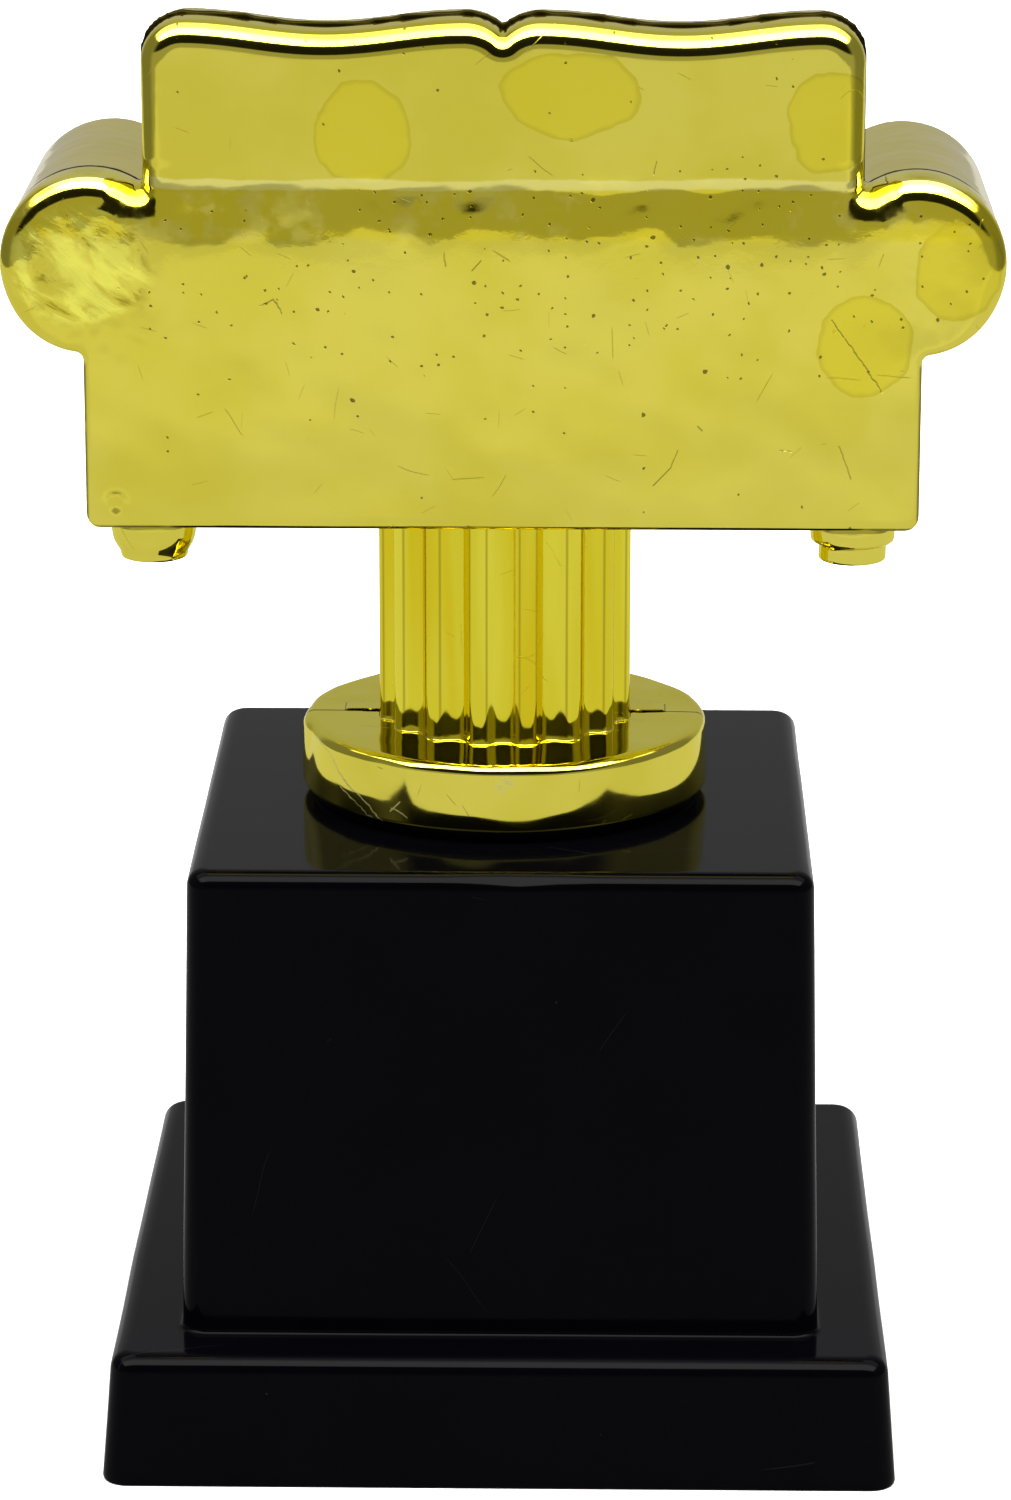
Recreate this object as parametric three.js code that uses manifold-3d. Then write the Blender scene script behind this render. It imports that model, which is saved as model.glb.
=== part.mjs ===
// Column trophy: a small sofa figure on a fluted column and disc, bolted to a black stepped base.
// Millimetres, +Z up. The origin is at the centre of the base's underside. The sofa's back faces -Y
// and its seat faces +Y. One threaded rod clamps figure, riser and base together.

import * as THREE from 'three';
import { mergeVertices } from 'three/addons/utils/BufferGeometryUtils.js';
import { RoundedBoxGeometry } from 'three/addons/geometries/RoundedBoxGeometry.js';
import Module from 'manifold-3d';

const wasm = await Module();
wasm.setup();

// Clearances.
const seatGap = 0.05; // between faces that rest on each other
const looseGap = 0.3; // between a piece and the hole or pocket it sits in
const cutPast = 1; // how far a cutting body runs past the face it opens

// Black base: a square plinth with a square block on it, moulded as one hollow piece.
const plinthWidth = 76.2;
const plinthTopWidth = 74.2;
const plinthHeight = 12.8;
const blockWidth = 61.4;
const blockTopWidth = 59.4;
const baseHeight = 58.9;
const baseCornerRadius = 2.5;
const baseFillet = 2.2;
const baseWall = 2;
const ledgeWidth = 14;
const ledgeThickness = 1.6;

// Felt, board and cast weight inside the base.
const feltThickness = 1.4;
const boardThickness = 2;
const weightBottom = 12.2;
const weightTop = 49;
const weightHoleRadius = 11;

// M6 rod and its fixings.
const rodRadius = 2.85;
const rodHoleRadius = rodRadius + looseGap;
const rodBottom = 44;
const rodTop = 101;
const nutAcrossFlats = 10;
const nutHeight = 5;
const nutCornerRadius = nutAcrossFlats / Math.sqrt(3);
const flatWasherRadius = 9;
const flatWasherThickness = 1.2;
const lockWasherRadius = 5.2;
const lockWasherThickness = 1.5;
const lockWasherSplit = 1;

// Riser: a disc and a fluted column, moulded as a back half and a front half.
const gasketRadius = 19;
const gasketThickness = 1;
const discRadius = 20;
const discDraft = 0.2;
const discThickness = 6.65;
const discTopFillet = 1;
const discBottomFillet = 0.5;
const discWall = 1.8;
const columnRadius = 12.5;
const fluteCount = 16;
const fluteDepth = 1.1;
const fluteHalfAngle = THREE.MathUtils.degToRad(7.25);
const columnBoreRadius = 9.5;
const halfGap = 0.1;

// Sofa figure. Heights are above its underside, depths are distances towards its back.
const figureBottom = 90;
const bodyHalfWidth = 39.45;
const bodyBackDepth = 18;
const bodyCornerRadius = 1.6;
const armRadius = 8.4;
const armCentreX = 38.9;
const armCentreHeight = 24.8;
const armInnerX = 30.9;
const armNotchX = 33.2;
const foldHeight = 32.9;
const foldHalfWidth = 32;
const backrestHalfWidth = 33.75;
const backrestBackDepth = 17.4;
const backrestFrontDepth = 7;
const backrestRoot = 20;
const backrestCornerRadius = 4;
const lobeHeight = 47.7;
const sagHeight = 46.6;
const notchHeight = 46.3;
const sagX = 16;
const lobeX = 4.6;
const partingDepth = 12;
const rimFillet = 2;
const figureWall = 1.7;

// Seat side of the sofa.
const armFrontDepth = -16;
const armFrontFillet = 1.5;
const apronFrontDepth = -14;
const seatDeckHeight = 9.6;
const seatCushionTop = 16.6;
const seatCushionFrontDepth = -15.2;
const cushionHalfGap = 0.25;
const cushionRadius = 2;
const backCushionTop = 44.2;
const backCushionFrontDepth = 2.6;
const bossRadius = 8;
const bossHeight = 11.2;
const pocketFloorHeight = 4;

// Sofa feet.
const footRadius = 4.05;
const footTipRadius = 3.25;
const footHeight = 4.3;
const footStepHeight = 1.6;
const footX = 33.4;
const footBackDepth = 13;
const footFrontDepth = -11;

// Blank name plate on the block's +Y face.
const plateWidth = 44;
const plateHeight = 18;
const plateThickness = 0.6;
const plateCornerRadius = 1.2;
const tapeMargin = 1.5;
const tapeThickness = 0.4;
const plateCentreHeight = 35;

// Smoothness.
const roundSides = 64;
const holeSides = 24;
const cornerSteps = 5;
const filletSteps = 4;
const flutePoints = 6;
const curveSteps = 7;

const gold = { color: 0xc9be3c, roughness: 0.14, metalness: 1 };
const blackPlastic = { color: 0x0b0b0d, roughness: 0.22, metalness: 0 };
const zincSteel = { color: 0xa9abad, roughness: 0.35, metalness: 1 };

// --- Helpers -------------------------------------------------------------------------------------

// A manifold solid from a closed three.js geometry.
function solidOf(geometry) {
  const bare = geometry.clone();
  bare.deleteAttribute('normal');
  bare.deleteAttribute('uv');
  const merged = mergeVertices(bare, 1e-4);
  const corners = merged.index.array;
  const kept = [];
  for (let i = 0; i < corners.length; i += 3) {
    const [a, b, c] = [corners[i], corners[i + 1], corners[i + 2]];
    if (a !== b && b !== c && c !== a) {
      kept.push(a, b, c);
    }
  }
  const vertProperties = new Float32Array(merged.attributes.position.array);
  const triVerts = new Uint32Array(kept);
  return new wasm.Manifold(new wasm.Mesh({ numProp: 3, vertProperties, triVerts }));
}

// A three.js geometry from a manifold solid.
function geometryOf(solid) {
  const mesh = solid.getMesh();
  const geometry = new THREE.BufferGeometry();
  geometry.setAttribute('position', new THREE.BufferAttribute(mesh.vertProperties, 3));
  geometry.setIndex(new THREE.BufferAttribute(mesh.triVerts, 1));
  geometry.computeVertexNormals();
  return geometry;
}

function named(name, shape, look) {
  const geometry = shape.isBufferGeometry ? shape : geometryOf(shape);
  const mesh = new THREE.Mesh(geometry, new THREE.MeshStandardMaterial(look));
  mesh.name = name;
  return mesh;
}

function joined(solids) {
  return solids.reduce((sum, solid) => sum.add(solid));
}

function cut(solid, tools) {
  return tools.reduce((rest, tool) => rest.subtract(tool), solid);
}

// A closed body through a stack of rings with the same number of points, counter-clockwise as seen
// from the stack's far end.
function loftOf(rings) {
  const count = rings[0].length;
  const positions = rings.flat().flatMap((point) => [point.x, point.y, point.z]);
  const index = [];
  for (let level = 0; level + 1 < rings.length; level += 1) {
    for (let i = 0; i < count; i += 1) {
      const next = (i + 1) % count;
      const low = level * count;
      const high = low + count;
      index.push(low + i, low + next, high + next);
      index.push(low + i, high + next, high + i);
    }
  }
  const last = (rings.length - 1) * count;
  for (const [a, b, c] of THREE.ShapeUtils.triangulateShape(rings[0], [])) {
    index.push(a, c, b);
  }
  for (const [a, b, c] of THREE.ShapeUtils.triangulateShape(rings.at(-1), [])) {
    index.push(last + a, last + b, last + c);
  }
  const geometry = new THREE.BufferGeometry();
  geometry.setAttribute('position', new THREE.Float32BufferAttribute(positions, 3));
  geometry.setIndex(index);
  return geometry;
}

// A box between two opposite corners.
function boxOf(low, high) {
  const size = high.map((value, i) => value - low[i]);
  const middle = high.map((value, i) => (value + low[i]) / 2);
  return solidOf(new THREE.BoxGeometry(...size).translate(...middle));
}

function roundedBoxOf(low, high, radius) {
  const size = high.map((value, i) => value - low[i]);
  const middle = high.map((value, i) => (value + low[i]) / 2);
  return solidOf(new RoundedBoxGeometry(...size, 2, radius).translate(...middle));
}

// A round or hexagonal bar along Z.
function barGeometry(radius, bottom, top, sides) {
  const bar = new THREE.CylinderGeometry(radius, radius, top - bottom, sides);
  return bar.rotateX(Math.PI / 2).translate(0, 0, (bottom + top) / 2);
}

function barOf(radius, bottom, top, sides = roundSides) {
  return solidOf(barGeometry(radius, bottom, top, sides));
}

// A body turned about Z from [radius, height] points that start and end on the axis.
function turnedGeometry(points, sides) {
  const profile = points.map(([radius, height]) => new THREE.Vector2(radius, height));
  return new THREE.LatheGeometry(profile, sides).rotateX(Math.PI / 2);
}

// --- Base ----------------------------------------------------------------------------------------

function roundedSquareRing(width, radius, z) {
  const ring = [];
  const reach = width / 2 - radius;
  for (let corner = 0; corner < 4; corner += 1) {
    const middle = Math.PI / 4 + (corner * Math.PI) / 2;
    const centreX = Math.sign(Math.cos(middle)) * reach;
    const centreY = Math.sign(Math.sin(middle)) * reach;
    for (let step = 0; step <= cornerSteps; step += 1) {
      const angle = middle + (step / cornerSteps - 0.5) * (Math.PI / 2);
      const x = centreX + radius * Math.cos(angle);
      const y = centreY + radius * Math.sin(angle);
      ring.push(new THREE.Vector3(x, y, z));
    }
  }
  return ring;
}

// A square body that narrows upwards, with a rounded top edge where fillet is above zero.
function towerOf(bottomWidth, topWidth, bottom, top, radius, fillet = 0) {
  const rings = [roundedSquareRing(bottomWidth, radius, bottom)];
  const steps = fillet > 0 ? filletSteps : 0;
  for (let step = 0; step <= steps; step += 1) {
    const angle = steps > 0 ? (step / steps) * (Math.PI / 2) : 0;
    const inset = fillet * (1 - Math.cos(angle));
    const z = top - fillet + fillet * Math.sin(angle);
    const straight = THREE.MathUtils.mapLinear(z, bottom, top, bottomWidth, topWidth);
    rings.push(roundedSquareRing(straight - 2 * inset, radius, z));
  }
  return solidOf(loftOf(rings));
}

// The block's outer width at a height, which follows its draft.
function blockWidthAt(z) {
  return THREE.MathUtils.mapLinear(z, plinthHeight, baseHeight, blockWidth, blockTopWidth);
}

function makeBaseShell() {
  const blockRoot = plinthHeight / 2;
  const plinthInnerTop = plinthHeight - baseWall;
  const blockInnerTop = baseHeight - baseWall;
  const innerRadius = baseCornerRadius - baseWall / 2;
  const plinth = [plinthWidth, plinthTopWidth];
  const block = [blockWidthAt(blockRoot), blockTopWidth];
  const [plinthInside, blockInside] = [plinth, block].map((widths) => widths.map((w) => w - 2 * baseWall));
  const outside = joined([
    towerOf(...plinth, 0, plinthHeight, baseCornerRadius, baseFillet),
    towerOf(...block, blockRoot, baseHeight, baseCornerRadius, baseFillet),
  ]);
  const plinthHollow = towerOf(...plinthInside, -cutPast, plinthInnerTop, innerRadius);
  const blockHollow = towerOf(...blockInside, blockRoot, blockInnerTop, innerRadius);
  const rodHole = barOf(rodHoleRadius, blockInnerTop - cutPast, baseHeight + cutPast, holeSides);
  const ledgeBottom = feltThickness + boardThickness + 2 * seatGap;
  const ledgeReach = plinthTopWidth / 2 - baseWall / 2;
  const ledgeInner = plinthTopWidth / 2 - baseWall - ledgeThickness;
  const half = ledgeWidth / 2;
  const ledges = [
    boxOf([-half, ledgeInner, ledgeBottom], [half, ledgeReach, plinthInnerTop + baseWall / 2]),
    boxOf([-half, -ledgeReach, ledgeBottom], [half, -ledgeInner, plinthInnerTop + baseWall / 2]),
    boxOf([ledgeInner, -half, ledgeBottom], [ledgeReach, half, plinthInnerTop + baseWall / 2]),
    boxOf([-ledgeReach, -half, ledgeBottom], [-ledgeInner, half, plinthInnerTop + baseWall / 2]),
  ];
  return joined([cut(outside, [plinthHollow, blockHollow, rodHole]), ...ledges]);
}

function makeBallastBlock() {
  const margin = 2 * (baseWall + looseGap);
  const bottomWidth = blockWidthAt(weightBottom) - margin;
  const topWidth = blockWidthAt(weightTop) - margin;
  const block = towerOf(bottomWidth, topWidth, weightBottom, weightTop, baseCornerRadius);
  const hole = barOf(weightHoleRadius, weightBottom - cutPast, weightTop + cutPast, holeSides);
  return block.subtract(hole);
}

// A flat square sheet that fits inside the plinth's skirt, under the ledges.
function skirtSheet(bottom, thickness) {
  const sheetsTop = feltThickness + seatGap + boardThickness;
  const skirtWidth = THREE.MathUtils.mapLinear(sheetsTop, 0, plinthHeight, plinthWidth, plinthTopWidth);
  const width = skirtWidth - 2 * (baseWall + looseGap);
  return towerOf(width, width, bottom, bottom + thickness, baseCornerRadius);
}

// An upright plate with round corners, its back face at y = depth and its front face towards +Y.
function plateOf(width, height, depth, thickness, radius) {
  const outline = new THREE.Shape();
  const reachX = width / 2 - radius;
  const reachZ = height / 2 - radius;
  outline.absarc(reachX, -reachZ, radius, -Math.PI / 2, 0);
  outline.absarc(reachX, reachZ, radius, 0, Math.PI / 2);
  outline.absarc(-reachX, reachZ, radius, Math.PI / 2, Math.PI);
  outline.absarc(-reachX, -reachZ, radius, Math.PI, 1.5 * Math.PI);
  const sheet = new THREE.ExtrudeGeometry(outline, {
    depth: thickness, bevelEnabled: false, curveSegments: cornerSteps });
  return solidOf(sheet.rotateX(-Math.PI / 2).translate(0, depth, 0));
}

// --- Rod and fixings -----------------------------------------------------------------------------

function ringOf(outerRadius, innerRadius, bottom, top) {
  const hole = barOf(innerRadius, bottom - cutPast, top + cutPast, holeSides);
  return barOf(outerRadius, bottom, top).subtract(hole);
}

function nutOf(bottom) {
  const hole = barOf(rodHoleRadius, bottom - cutPast, bottom + nutHeight + cutPast, holeSides);
  return barOf(nutCornerRadius, bottom, bottom + nutHeight, 6).subtract(hole);
}

function makeLockWasher(bottom) {
  const top = bottom + lockWasherThickness;
  const split = boxOf(
    [0, -lockWasherSplit / 2, bottom - cutPast], [lockWasherRadius + cutPast, lockWasherSplit / 2, top + cutPast]);
  return ringOf(lockWasherRadius, rodHoleRadius, bottom, top).subtract(split);
}

function makeFixings() {
  const flatWasherBottom = baseHeight - baseWall - seatGap - flatWasherThickness;
  const lockWasherBottom = flatWasherBottom - seatGap - lockWasherThickness;
  const baseNutBottom = lockWasherBottom - seatGap - nutHeight;
  const captiveNutBottom = figureBottom + pocketFloorHeight + seatGap;
  const flatWasher = ringOf(
    flatWasherRadius, rodHoleRadius, flatWasherBottom, flatWasherBottom + flatWasherThickness);
  const group = new THREE.Group();
  group.add(named('threaded_rod', barOf(rodRadius, rodBottom, rodTop, holeSides), zincSteel));
  group.add(named('flat_washer', flatWasher, zincSteel));
  group.add(named('lock_washer', makeLockWasher(lockWasherBottom), zincSteel));
  group.add(named('base_nut', nutOf(baseNutBottom), zincSteel));
  group.add(named('captive_nut', nutOf(captiveNutBottom), zincSteel));
  return group;
}

// --- Riser ---------------------------------------------------------------------------------------

// A quarter of the column's outline from -Y to +X. Each flute is a round groove, and where a flute
// turns away from the mould's pull along Y, its wall runs straight in Y instead.
function columnQuarter() {
  const pitch = (2 * Math.PI) / fluteCount;
  const mouthReach = columnRadius * Math.cos(fluteHalfAngle);
  const mouthHalf = columnRadius * Math.sin(fluteHalfAngle);
  const fluteRadius = (mouthHalf ** 2 + fluteDepth ** 2) / (2 * fluteDepth);
  const fluteCentre = mouthReach - fluteDepth + fluteRadius;
  const points = [];
  const place = (along, out, turn) => {
    const x = out * Math.sin(turn) + along * Math.cos(turn);
    const y = -out * Math.cos(turn) + along * Math.sin(turn);
    points.push(new THREE.Vector2(x, y));
  };
  for (let flute = 0; flute <= fluteCount / 4; flute += 1) {
    const sweep = Math.asin(mouthHalf / fluteRadius);
    const wide = fluteDepth > fluteRadius ? Math.PI - sweep : sweep;
    for (let step = 0; step <= flutePoints; step += 1) {
      const angle = THREE.MathUtils.lerp(-wide, wide, step / flutePoints);
      const along = fluteRadius * Math.sin(angle);
      place(along, fluteCentre - fluteRadius * Math.cos(angle), flute * pitch);
    }
    place(0, columnRadius, (flute + 0.5) * pitch);
  }
  const quarter = [];
  let widest = 0;
  for (const point of points.filter((corner) => corner.x > -1e-6 && corner.y < 1e-6)) {
    widest = Math.max(widest, point.x);
    quarter.push(new THREE.Vector2(widest, point.y));
  }
  quarter.push(new THREE.Vector2(widest, 0));
  return quarter;
}

function columnOutline() {
  const quarter = columnQuarter();
  const half = [...quarter, ...quarter.slice(0, -1).reverse().map((p) => new THREE.Vector2(p.x, -p.y))];
  const inner = half.slice(1, -1);
  return new THREE.Shape([...half, ...inner.reverse().map((p) => new THREE.Vector2(-p.x, p.y))]);
}

function makeRiser(height) {
  const column = new THREE.ExtrudeGeometry(columnOutline(), {
    depth: height - discThickness / 2, bevelEnabled: false });
  const profile = [[0, 0]];
  for (let step = 0; step <= filletSteps; step += 1) {
    const angle = (step / filletSteps) * (Math.PI / 2);
    const out = discRadius - discBottomFillet + discBottomFillet * Math.sin(angle);
    profile.push([out, discBottomFillet * (1 - Math.cos(angle))]);
  }
  for (let step = 0; step <= filletSteps; step += 1) {
    const angle = (step / filletSteps) * (Math.PI / 2);
    const out = discRadius - discDraft - discTopFillet + discTopFillet * Math.cos(angle);
    profile.push([out, discThickness - discTopFillet + discTopFillet * Math.sin(angle)]);
  }
  profile.push([0, discThickness]);
  const disc = solidOf(turnedGeometry(profile, roundSides));
  const discHollow = barOf(discRadius - discDraft - discWall, -cutPast, discThickness - discWall);
  const bore = barOf(columnBoreRadius, 0, height - discWall);
  const rodHole = barOf(rodHoleRadius, 0, height + cutPast, holeSides);
  const outside = disc.add(solidOf(column.translate(0, 0, discThickness / 2)));
  return cut(outside, [discHollow, bore, rodHole]);
}

function makeRiserGroup() {
  const bottom = baseHeight + gasketThickness + 2 * seatGap;
  const height = figureBottom - seatGap - bottom;
  const riser = makeRiser(height);
  const reach = 2 * discRadius;
  const backSide = boxOf([-reach, -reach, -reach], [reach, -halfGap, reach]);
  const frontSide = boxOf([-reach, halfGap, -reach], [reach, reach, reach]);
  const group = new THREE.Group();
  group.position.z = bottom;
  group.add(named('riser_back_half', riser.intersect(backSide), gold));
  group.add(named('riser_front_half', riser.intersect(frontSide), gold));
  return group;
}

// --- Sofa figure ---------------------------------------------------------------------------------

// Outlines are drawn with x across the sofa and y up, as seen from its back. Each gives the right
// half, from the bottom of the middle line to its top, drawn in by an inset.

function bodyHalf(inset) {
  const corner = Math.max(bodyCornerRadius - inset, 0.3);
  const arm = armRadius - inset;
  const side = bodyHalfWidth - inset;
  const armStart = -Math.acos((side - armCentreX) / arm);
  const armEnd = Math.acos((armNotchX - armCentreX) / armRadius);
  const path = new THREE.Path();
  path.moveTo(0, inset);
  path.absarc(side - corner, inset + corner, corner, -Math.PI / 2, 0);
  path.absarc(armCentreX, armCentreHeight, arm, armStart, armEnd);
  path.lineTo(foldHalfWidth, foldHeight - inset);
  path.lineTo(0, foldHeight - inset);
  return path;
}

function backrestHalf(inset) {
  const corner = backrestCornerRadius - inset;
  const side = backrestHalfWidth - inset;
  const lobe = lobeHeight - inset;
  const sag = sagHeight - inset;
  const path = new THREE.Path();
  path.moveTo(0, backrestRoot);
  path.lineTo(side, backrestRoot);
  path.absarc(side - corner, lobe - corner, corner, 0, Math.PI / 2);
  path.bezierCurveTo(side - corner - 4, lobe, sagX + 5, sag, sagX, sag);
  path.bezierCurveTo(sagX - 5, sag, lobeX + 4, lobe, lobeX, lobe);
  path.bezierCurveTo(lobeX - 2.2, lobe, 1.2, notchHeight - inset + 0.7, 0, notchHeight - inset);
  return path;
}

function armHalf(inset) {
  const arm = armRadius - inset;
  const side = bodyHalfWidth - inset;
  const inner = armInnerX + inset;
  const armStart = -Math.acos((side - armCentreX) / arm);
  const armEnd = 2 * Math.PI - Math.acos((inner - armCentreX) / arm);
  const path = new THREE.Path();
  path.moveTo(inner, inset);
  path.lineTo(side, inset);
  path.absarc(armCentreX, armCentreHeight, arm, armStart, armEnd);
  return path;
}

// A whole outline from a right half that starts and ends on the middle line.
function mirrored(half) {
  const points = half.getPoints(curveSteps);
  const left = points.slice(1, -1).reverse().map((point) => new THREE.Vector2(-point.x, point.y));
  return [...points, ...left];
}

// A body through an outline drawn in by each level's inset, at each level's depth.
function figureBody(outlineAt, levels) {
  const rings = levels.map(([depth, inset]) => {
    const outline = outlineAt(inset);
    return outline.map((point) => new THREE.Vector3(point.x, point.y, depth));
  });
  return solidOf(loftOf(rings).rotateX(Math.PI / 2));
}

// Levels of a rounded edge that ends at a depth, on the side that depth grows towards.
function roundedEnd(depth, fillet) {
  const levels = [];
  for (let step = 0; step <= filletSteps; step += 1) {
    const angle = (step / filletSteps) * (Math.PI / 2);
    levels.push([depth - fillet + fillet * Math.sin(angle), fillet * (1 - Math.cos(angle))]);
  }
  return levels;
}

// The same on the side that depth falls towards, in order of growing depth.
function roundedStart(depth, fillet) {
  return roundedEnd(-depth, fillet).map(([far, inset]) => [-far, inset]).reverse();
}

const bodyOutline = (inset) => mirrored(bodyHalf(inset));
const backrestOutline = (inset) => mirrored(backrestHalf(inset));
const rightArmOutline = (inset) => armHalf(inset).getPoints(curveSteps);
const leftArmOutline = (inset) =>
  rightArmOutline(inset).map((point) => new THREE.Vector2(-point.x, point.y)).reverse();

function makeSofaBackShell() {
  const outside = joined([
    figureBody(bodyOutline, [[partingDepth, 0], ...roundedEnd(bodyBackDepth, rimFillet)]),
    figureBody(backrestOutline, [[partingDepth, 0], ...roundedEnd(backrestBackDepth, rimFillet)]),
  ]);
  const openAt = partingDepth - cutPast;
  const bodyHollow = figureBody(
    bodyOutline, [[openAt, figureWall], [bodyBackDepth - figureWall, figureWall]]);
  const backrestHollow = figureBody(
    backrestOutline, [[openAt, figureWall], [backrestBackDepth - figureWall, figureWall]]);
  return cut(outside, [bodyHollow, backrestHollow]);
}

function makeCushions() {
  const cushions = [];
  for (const side of [-1, 1]) {
    const inner = side * cushionHalfGap;
    const outer = side * (armInnerX + 0.2);
    const low = Math.min(inner, outer);
    const high = Math.max(inner, outer);
    cushions.push(roundedBoxOf(
      [low, -backrestFrontDepth - 1, seatDeckHeight - 1],
      [high, -seatCushionFrontDepth, seatCushionTop], cushionRadius));
    cushions.push(roundedBoxOf(
      [low, -backrestFrontDepth - 3, seatCushionTop - 3],
      [high, -backCushionFrontDepth, backCushionTop], cushionRadius));
  }
  return cushions;
}

// A round boss on the sofa's floor, around a hexagonal pocket for the nut that the rod screws into.
function makeNutBoss() {
  const pocket = barOf(nutCornerRadius + looseGap, pocketFloorHeight, bossHeight + cutPast, 6);
  return barOf(bossRadius, 0, bossHeight, holeSides).subtract(pocket);
}

function makeSofaFrontShell() {
  const joint = partingDepth - halfGap * 2;
  const armLevels = [...roundedStart(armFrontDepth, armFrontFillet), [joint, 0]];
  const outside = joined([
    figureBody(backrestOutline, [...roundedStart(backrestFrontDepth, armFrontFillet), [joint, 0]]),
    figureBody(rightArmOutline, armLevels),
    figureBody(leftArmOutline, armLevels),
    boxOf([-armInnerX - 1, -joint, 0], [armInnerX + 1, -apronFrontDepth, seatDeckHeight]),
    boxOf([-armInnerX - 1, -joint, 0], [armInnerX + 1, -backrestFrontDepth, foldHeight - 4]),
    ...makeCushions(),
  ]);
  const open = joint + cutPast;
  const hollowSide = armInnerX - figureWall;
  const hollows = [
    figureBody(rightArmOutline, [[armFrontDepth + figureWall, figureWall], [open, figureWall]]),
    figureBody(leftArmOutline, [[armFrontDepth + figureWall, figureWall], [open, figureWall]]),
    figureBody(backrestOutline, [[backrestFrontDepth + figureWall, figureWall], [open, figureWall]]),
    boxOf([-hollowSide, -open, figureWall],
      [hollowSide, -apronFrontDepth - figureWall, seatCushionTop - figureWall - 0.5]),
    boxOf([-hollowSide, -open, figureWall],
      [hollowSide, -backCushionFrontDepth - figureWall, backCushionTop - figureWall - 0.5]),
  ];
  const rodHole = barOf(rodHoleRadius, -cutPast, pocketFloorHeight + cutPast, holeSides);
  return joined([cut(outside, hollows), makeNutBoss()]).subtract(rodHole);
}

function makeFoot() {
  const stepRise = 0.35;
  return turnedGeometry([
    [0, -footHeight],
    [footTipRadius - 0.4, -footHeight],
    [footTipRadius, -footHeight + 0.4],
    [footTipRadius, -footHeight + footStepHeight - stepRise],
    [footRadius - 0.3, -footHeight + footStepHeight],
    [footRadius, -footHeight + footStepHeight + stepRise],
    [footRadius, -seatGap],
    [0, -seatGap],
  ], holeSides);
}

function makeFigureGroup() {
  const group = new THREE.Group();
  group.position.z = figureBottom;
  group.add(named('sofa_back_shell', makeSofaBackShell(), gold));
  group.add(named('sofa_front_shell', makeSofaFrontShell(), gold));
  const rows = { back: footBackDepth, front: footFrontDepth };
  const sides = { left: -1, right: 1 };
  for (const [row, depth] of Object.entries(rows)) {
    for (const [side, sign] of Object.entries(sides)) {
      const foot = named(`sofa_foot_${row}_${side}`, makeFoot(), gold);
      foot.position.set(sign * footX, -depth, 0);
      group.add(foot);
    }
  }
  return group;
}

// --- Assembly ------------------------------------------------------------------------------------

function makeBaseGroup() {
  const felt = { color: 0x1c1c1e, roughness: 0.95, metalness: 0 };
  const board = { color: 0x5a4a38, roughness: 0.9, metalness: 0 };
  const plaster = { color: 0xb9b4a8, roughness: 0.95, metalness: 0 };
  const foam = { color: 0xe8e8e4, roughness: 0.8, metalness: 0 };
  const group = new THREE.Group();
  group.add(named('base_shell', makeBaseShell(), blackPlastic));
  group.add(named('ballast_block', makeBallastBlock(), plaster));
  group.add(named('felt_pad', skirtSheet(0, feltThickness), felt));
  group.add(named('bottom_board', skirtSheet(feltThickness + seatGap, boardThickness), board));
  const gasketBottom = baseHeight + seatGap;
  const gasket = ringOf(gasketRadius, rodHoleRadius, gasketBottom, gasketBottom + gasketThickness);
  group.add(named('disc_gasket', gasket, blackPlastic));

  // The plate leans back with the block's face.
  const lean = Math.atan((blockWidth - blockTopWidth) / 2 / (baseHeight - plinthHeight));
  const plateGroup = new THREE.Group();
  plateGroup.position.set(0, blockWidthAt(plateCentreHeight) / 2, plateCentreHeight);
  plateGroup.rotation.x = lean;
  const tapeDepth = 2 * seatGap;
  const plateDepth = tapeDepth + tapeThickness + 2 * seatGap;
  const tape = plateOf(
    plateWidth - 2 * tapeMargin, plateHeight - 2 * tapeMargin, tapeDepth, tapeThickness, plateCornerRadius);
  const plate = plateOf(plateWidth, plateHeight, plateDepth, plateThickness, plateCornerRadius);
  plateGroup.add(named('plate_tape', tape, foam));
  plateGroup.add(named('name_plate', plate, { color: 0xd0b45a, roughness: 0.3, metalness: 1 }));
  group.add(plateGroup);
  return group;
}

const trophy = new THREE.Group();
trophy.add(makeBaseGroup());
trophy.add(makeFixings());
trophy.add(makeRiserGroup());
trophy.add(makeFigureGroup());

export default trophy;
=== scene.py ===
"""Looks of the column trophy: a gold sofa on a fluted column and disc, on a black stepped base.

Lengths in this script are millimetres in the CAD frame (+Z up, the sofa's back faces -Y) until a
mesh is made, which stores metres.
"""

import math

import bmesh
import bpy
import numpy as np
from mathutils import Matrix, Vector
from mathutils.geometry import delaunay_2d_cdt


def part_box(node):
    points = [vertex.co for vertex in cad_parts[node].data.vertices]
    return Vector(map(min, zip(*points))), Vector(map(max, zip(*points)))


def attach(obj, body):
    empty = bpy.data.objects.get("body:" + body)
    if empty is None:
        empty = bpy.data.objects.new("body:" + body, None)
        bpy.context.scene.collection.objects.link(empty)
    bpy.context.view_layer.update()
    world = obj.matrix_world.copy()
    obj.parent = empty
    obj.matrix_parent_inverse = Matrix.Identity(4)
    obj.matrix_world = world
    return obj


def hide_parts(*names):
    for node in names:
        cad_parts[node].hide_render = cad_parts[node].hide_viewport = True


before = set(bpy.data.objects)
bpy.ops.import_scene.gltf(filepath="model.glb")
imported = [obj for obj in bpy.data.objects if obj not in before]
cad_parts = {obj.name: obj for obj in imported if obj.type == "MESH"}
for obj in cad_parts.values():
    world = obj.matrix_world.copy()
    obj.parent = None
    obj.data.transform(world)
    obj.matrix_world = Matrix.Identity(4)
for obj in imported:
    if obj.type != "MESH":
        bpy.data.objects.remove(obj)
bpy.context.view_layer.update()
scene = bpy.context.scene

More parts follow.
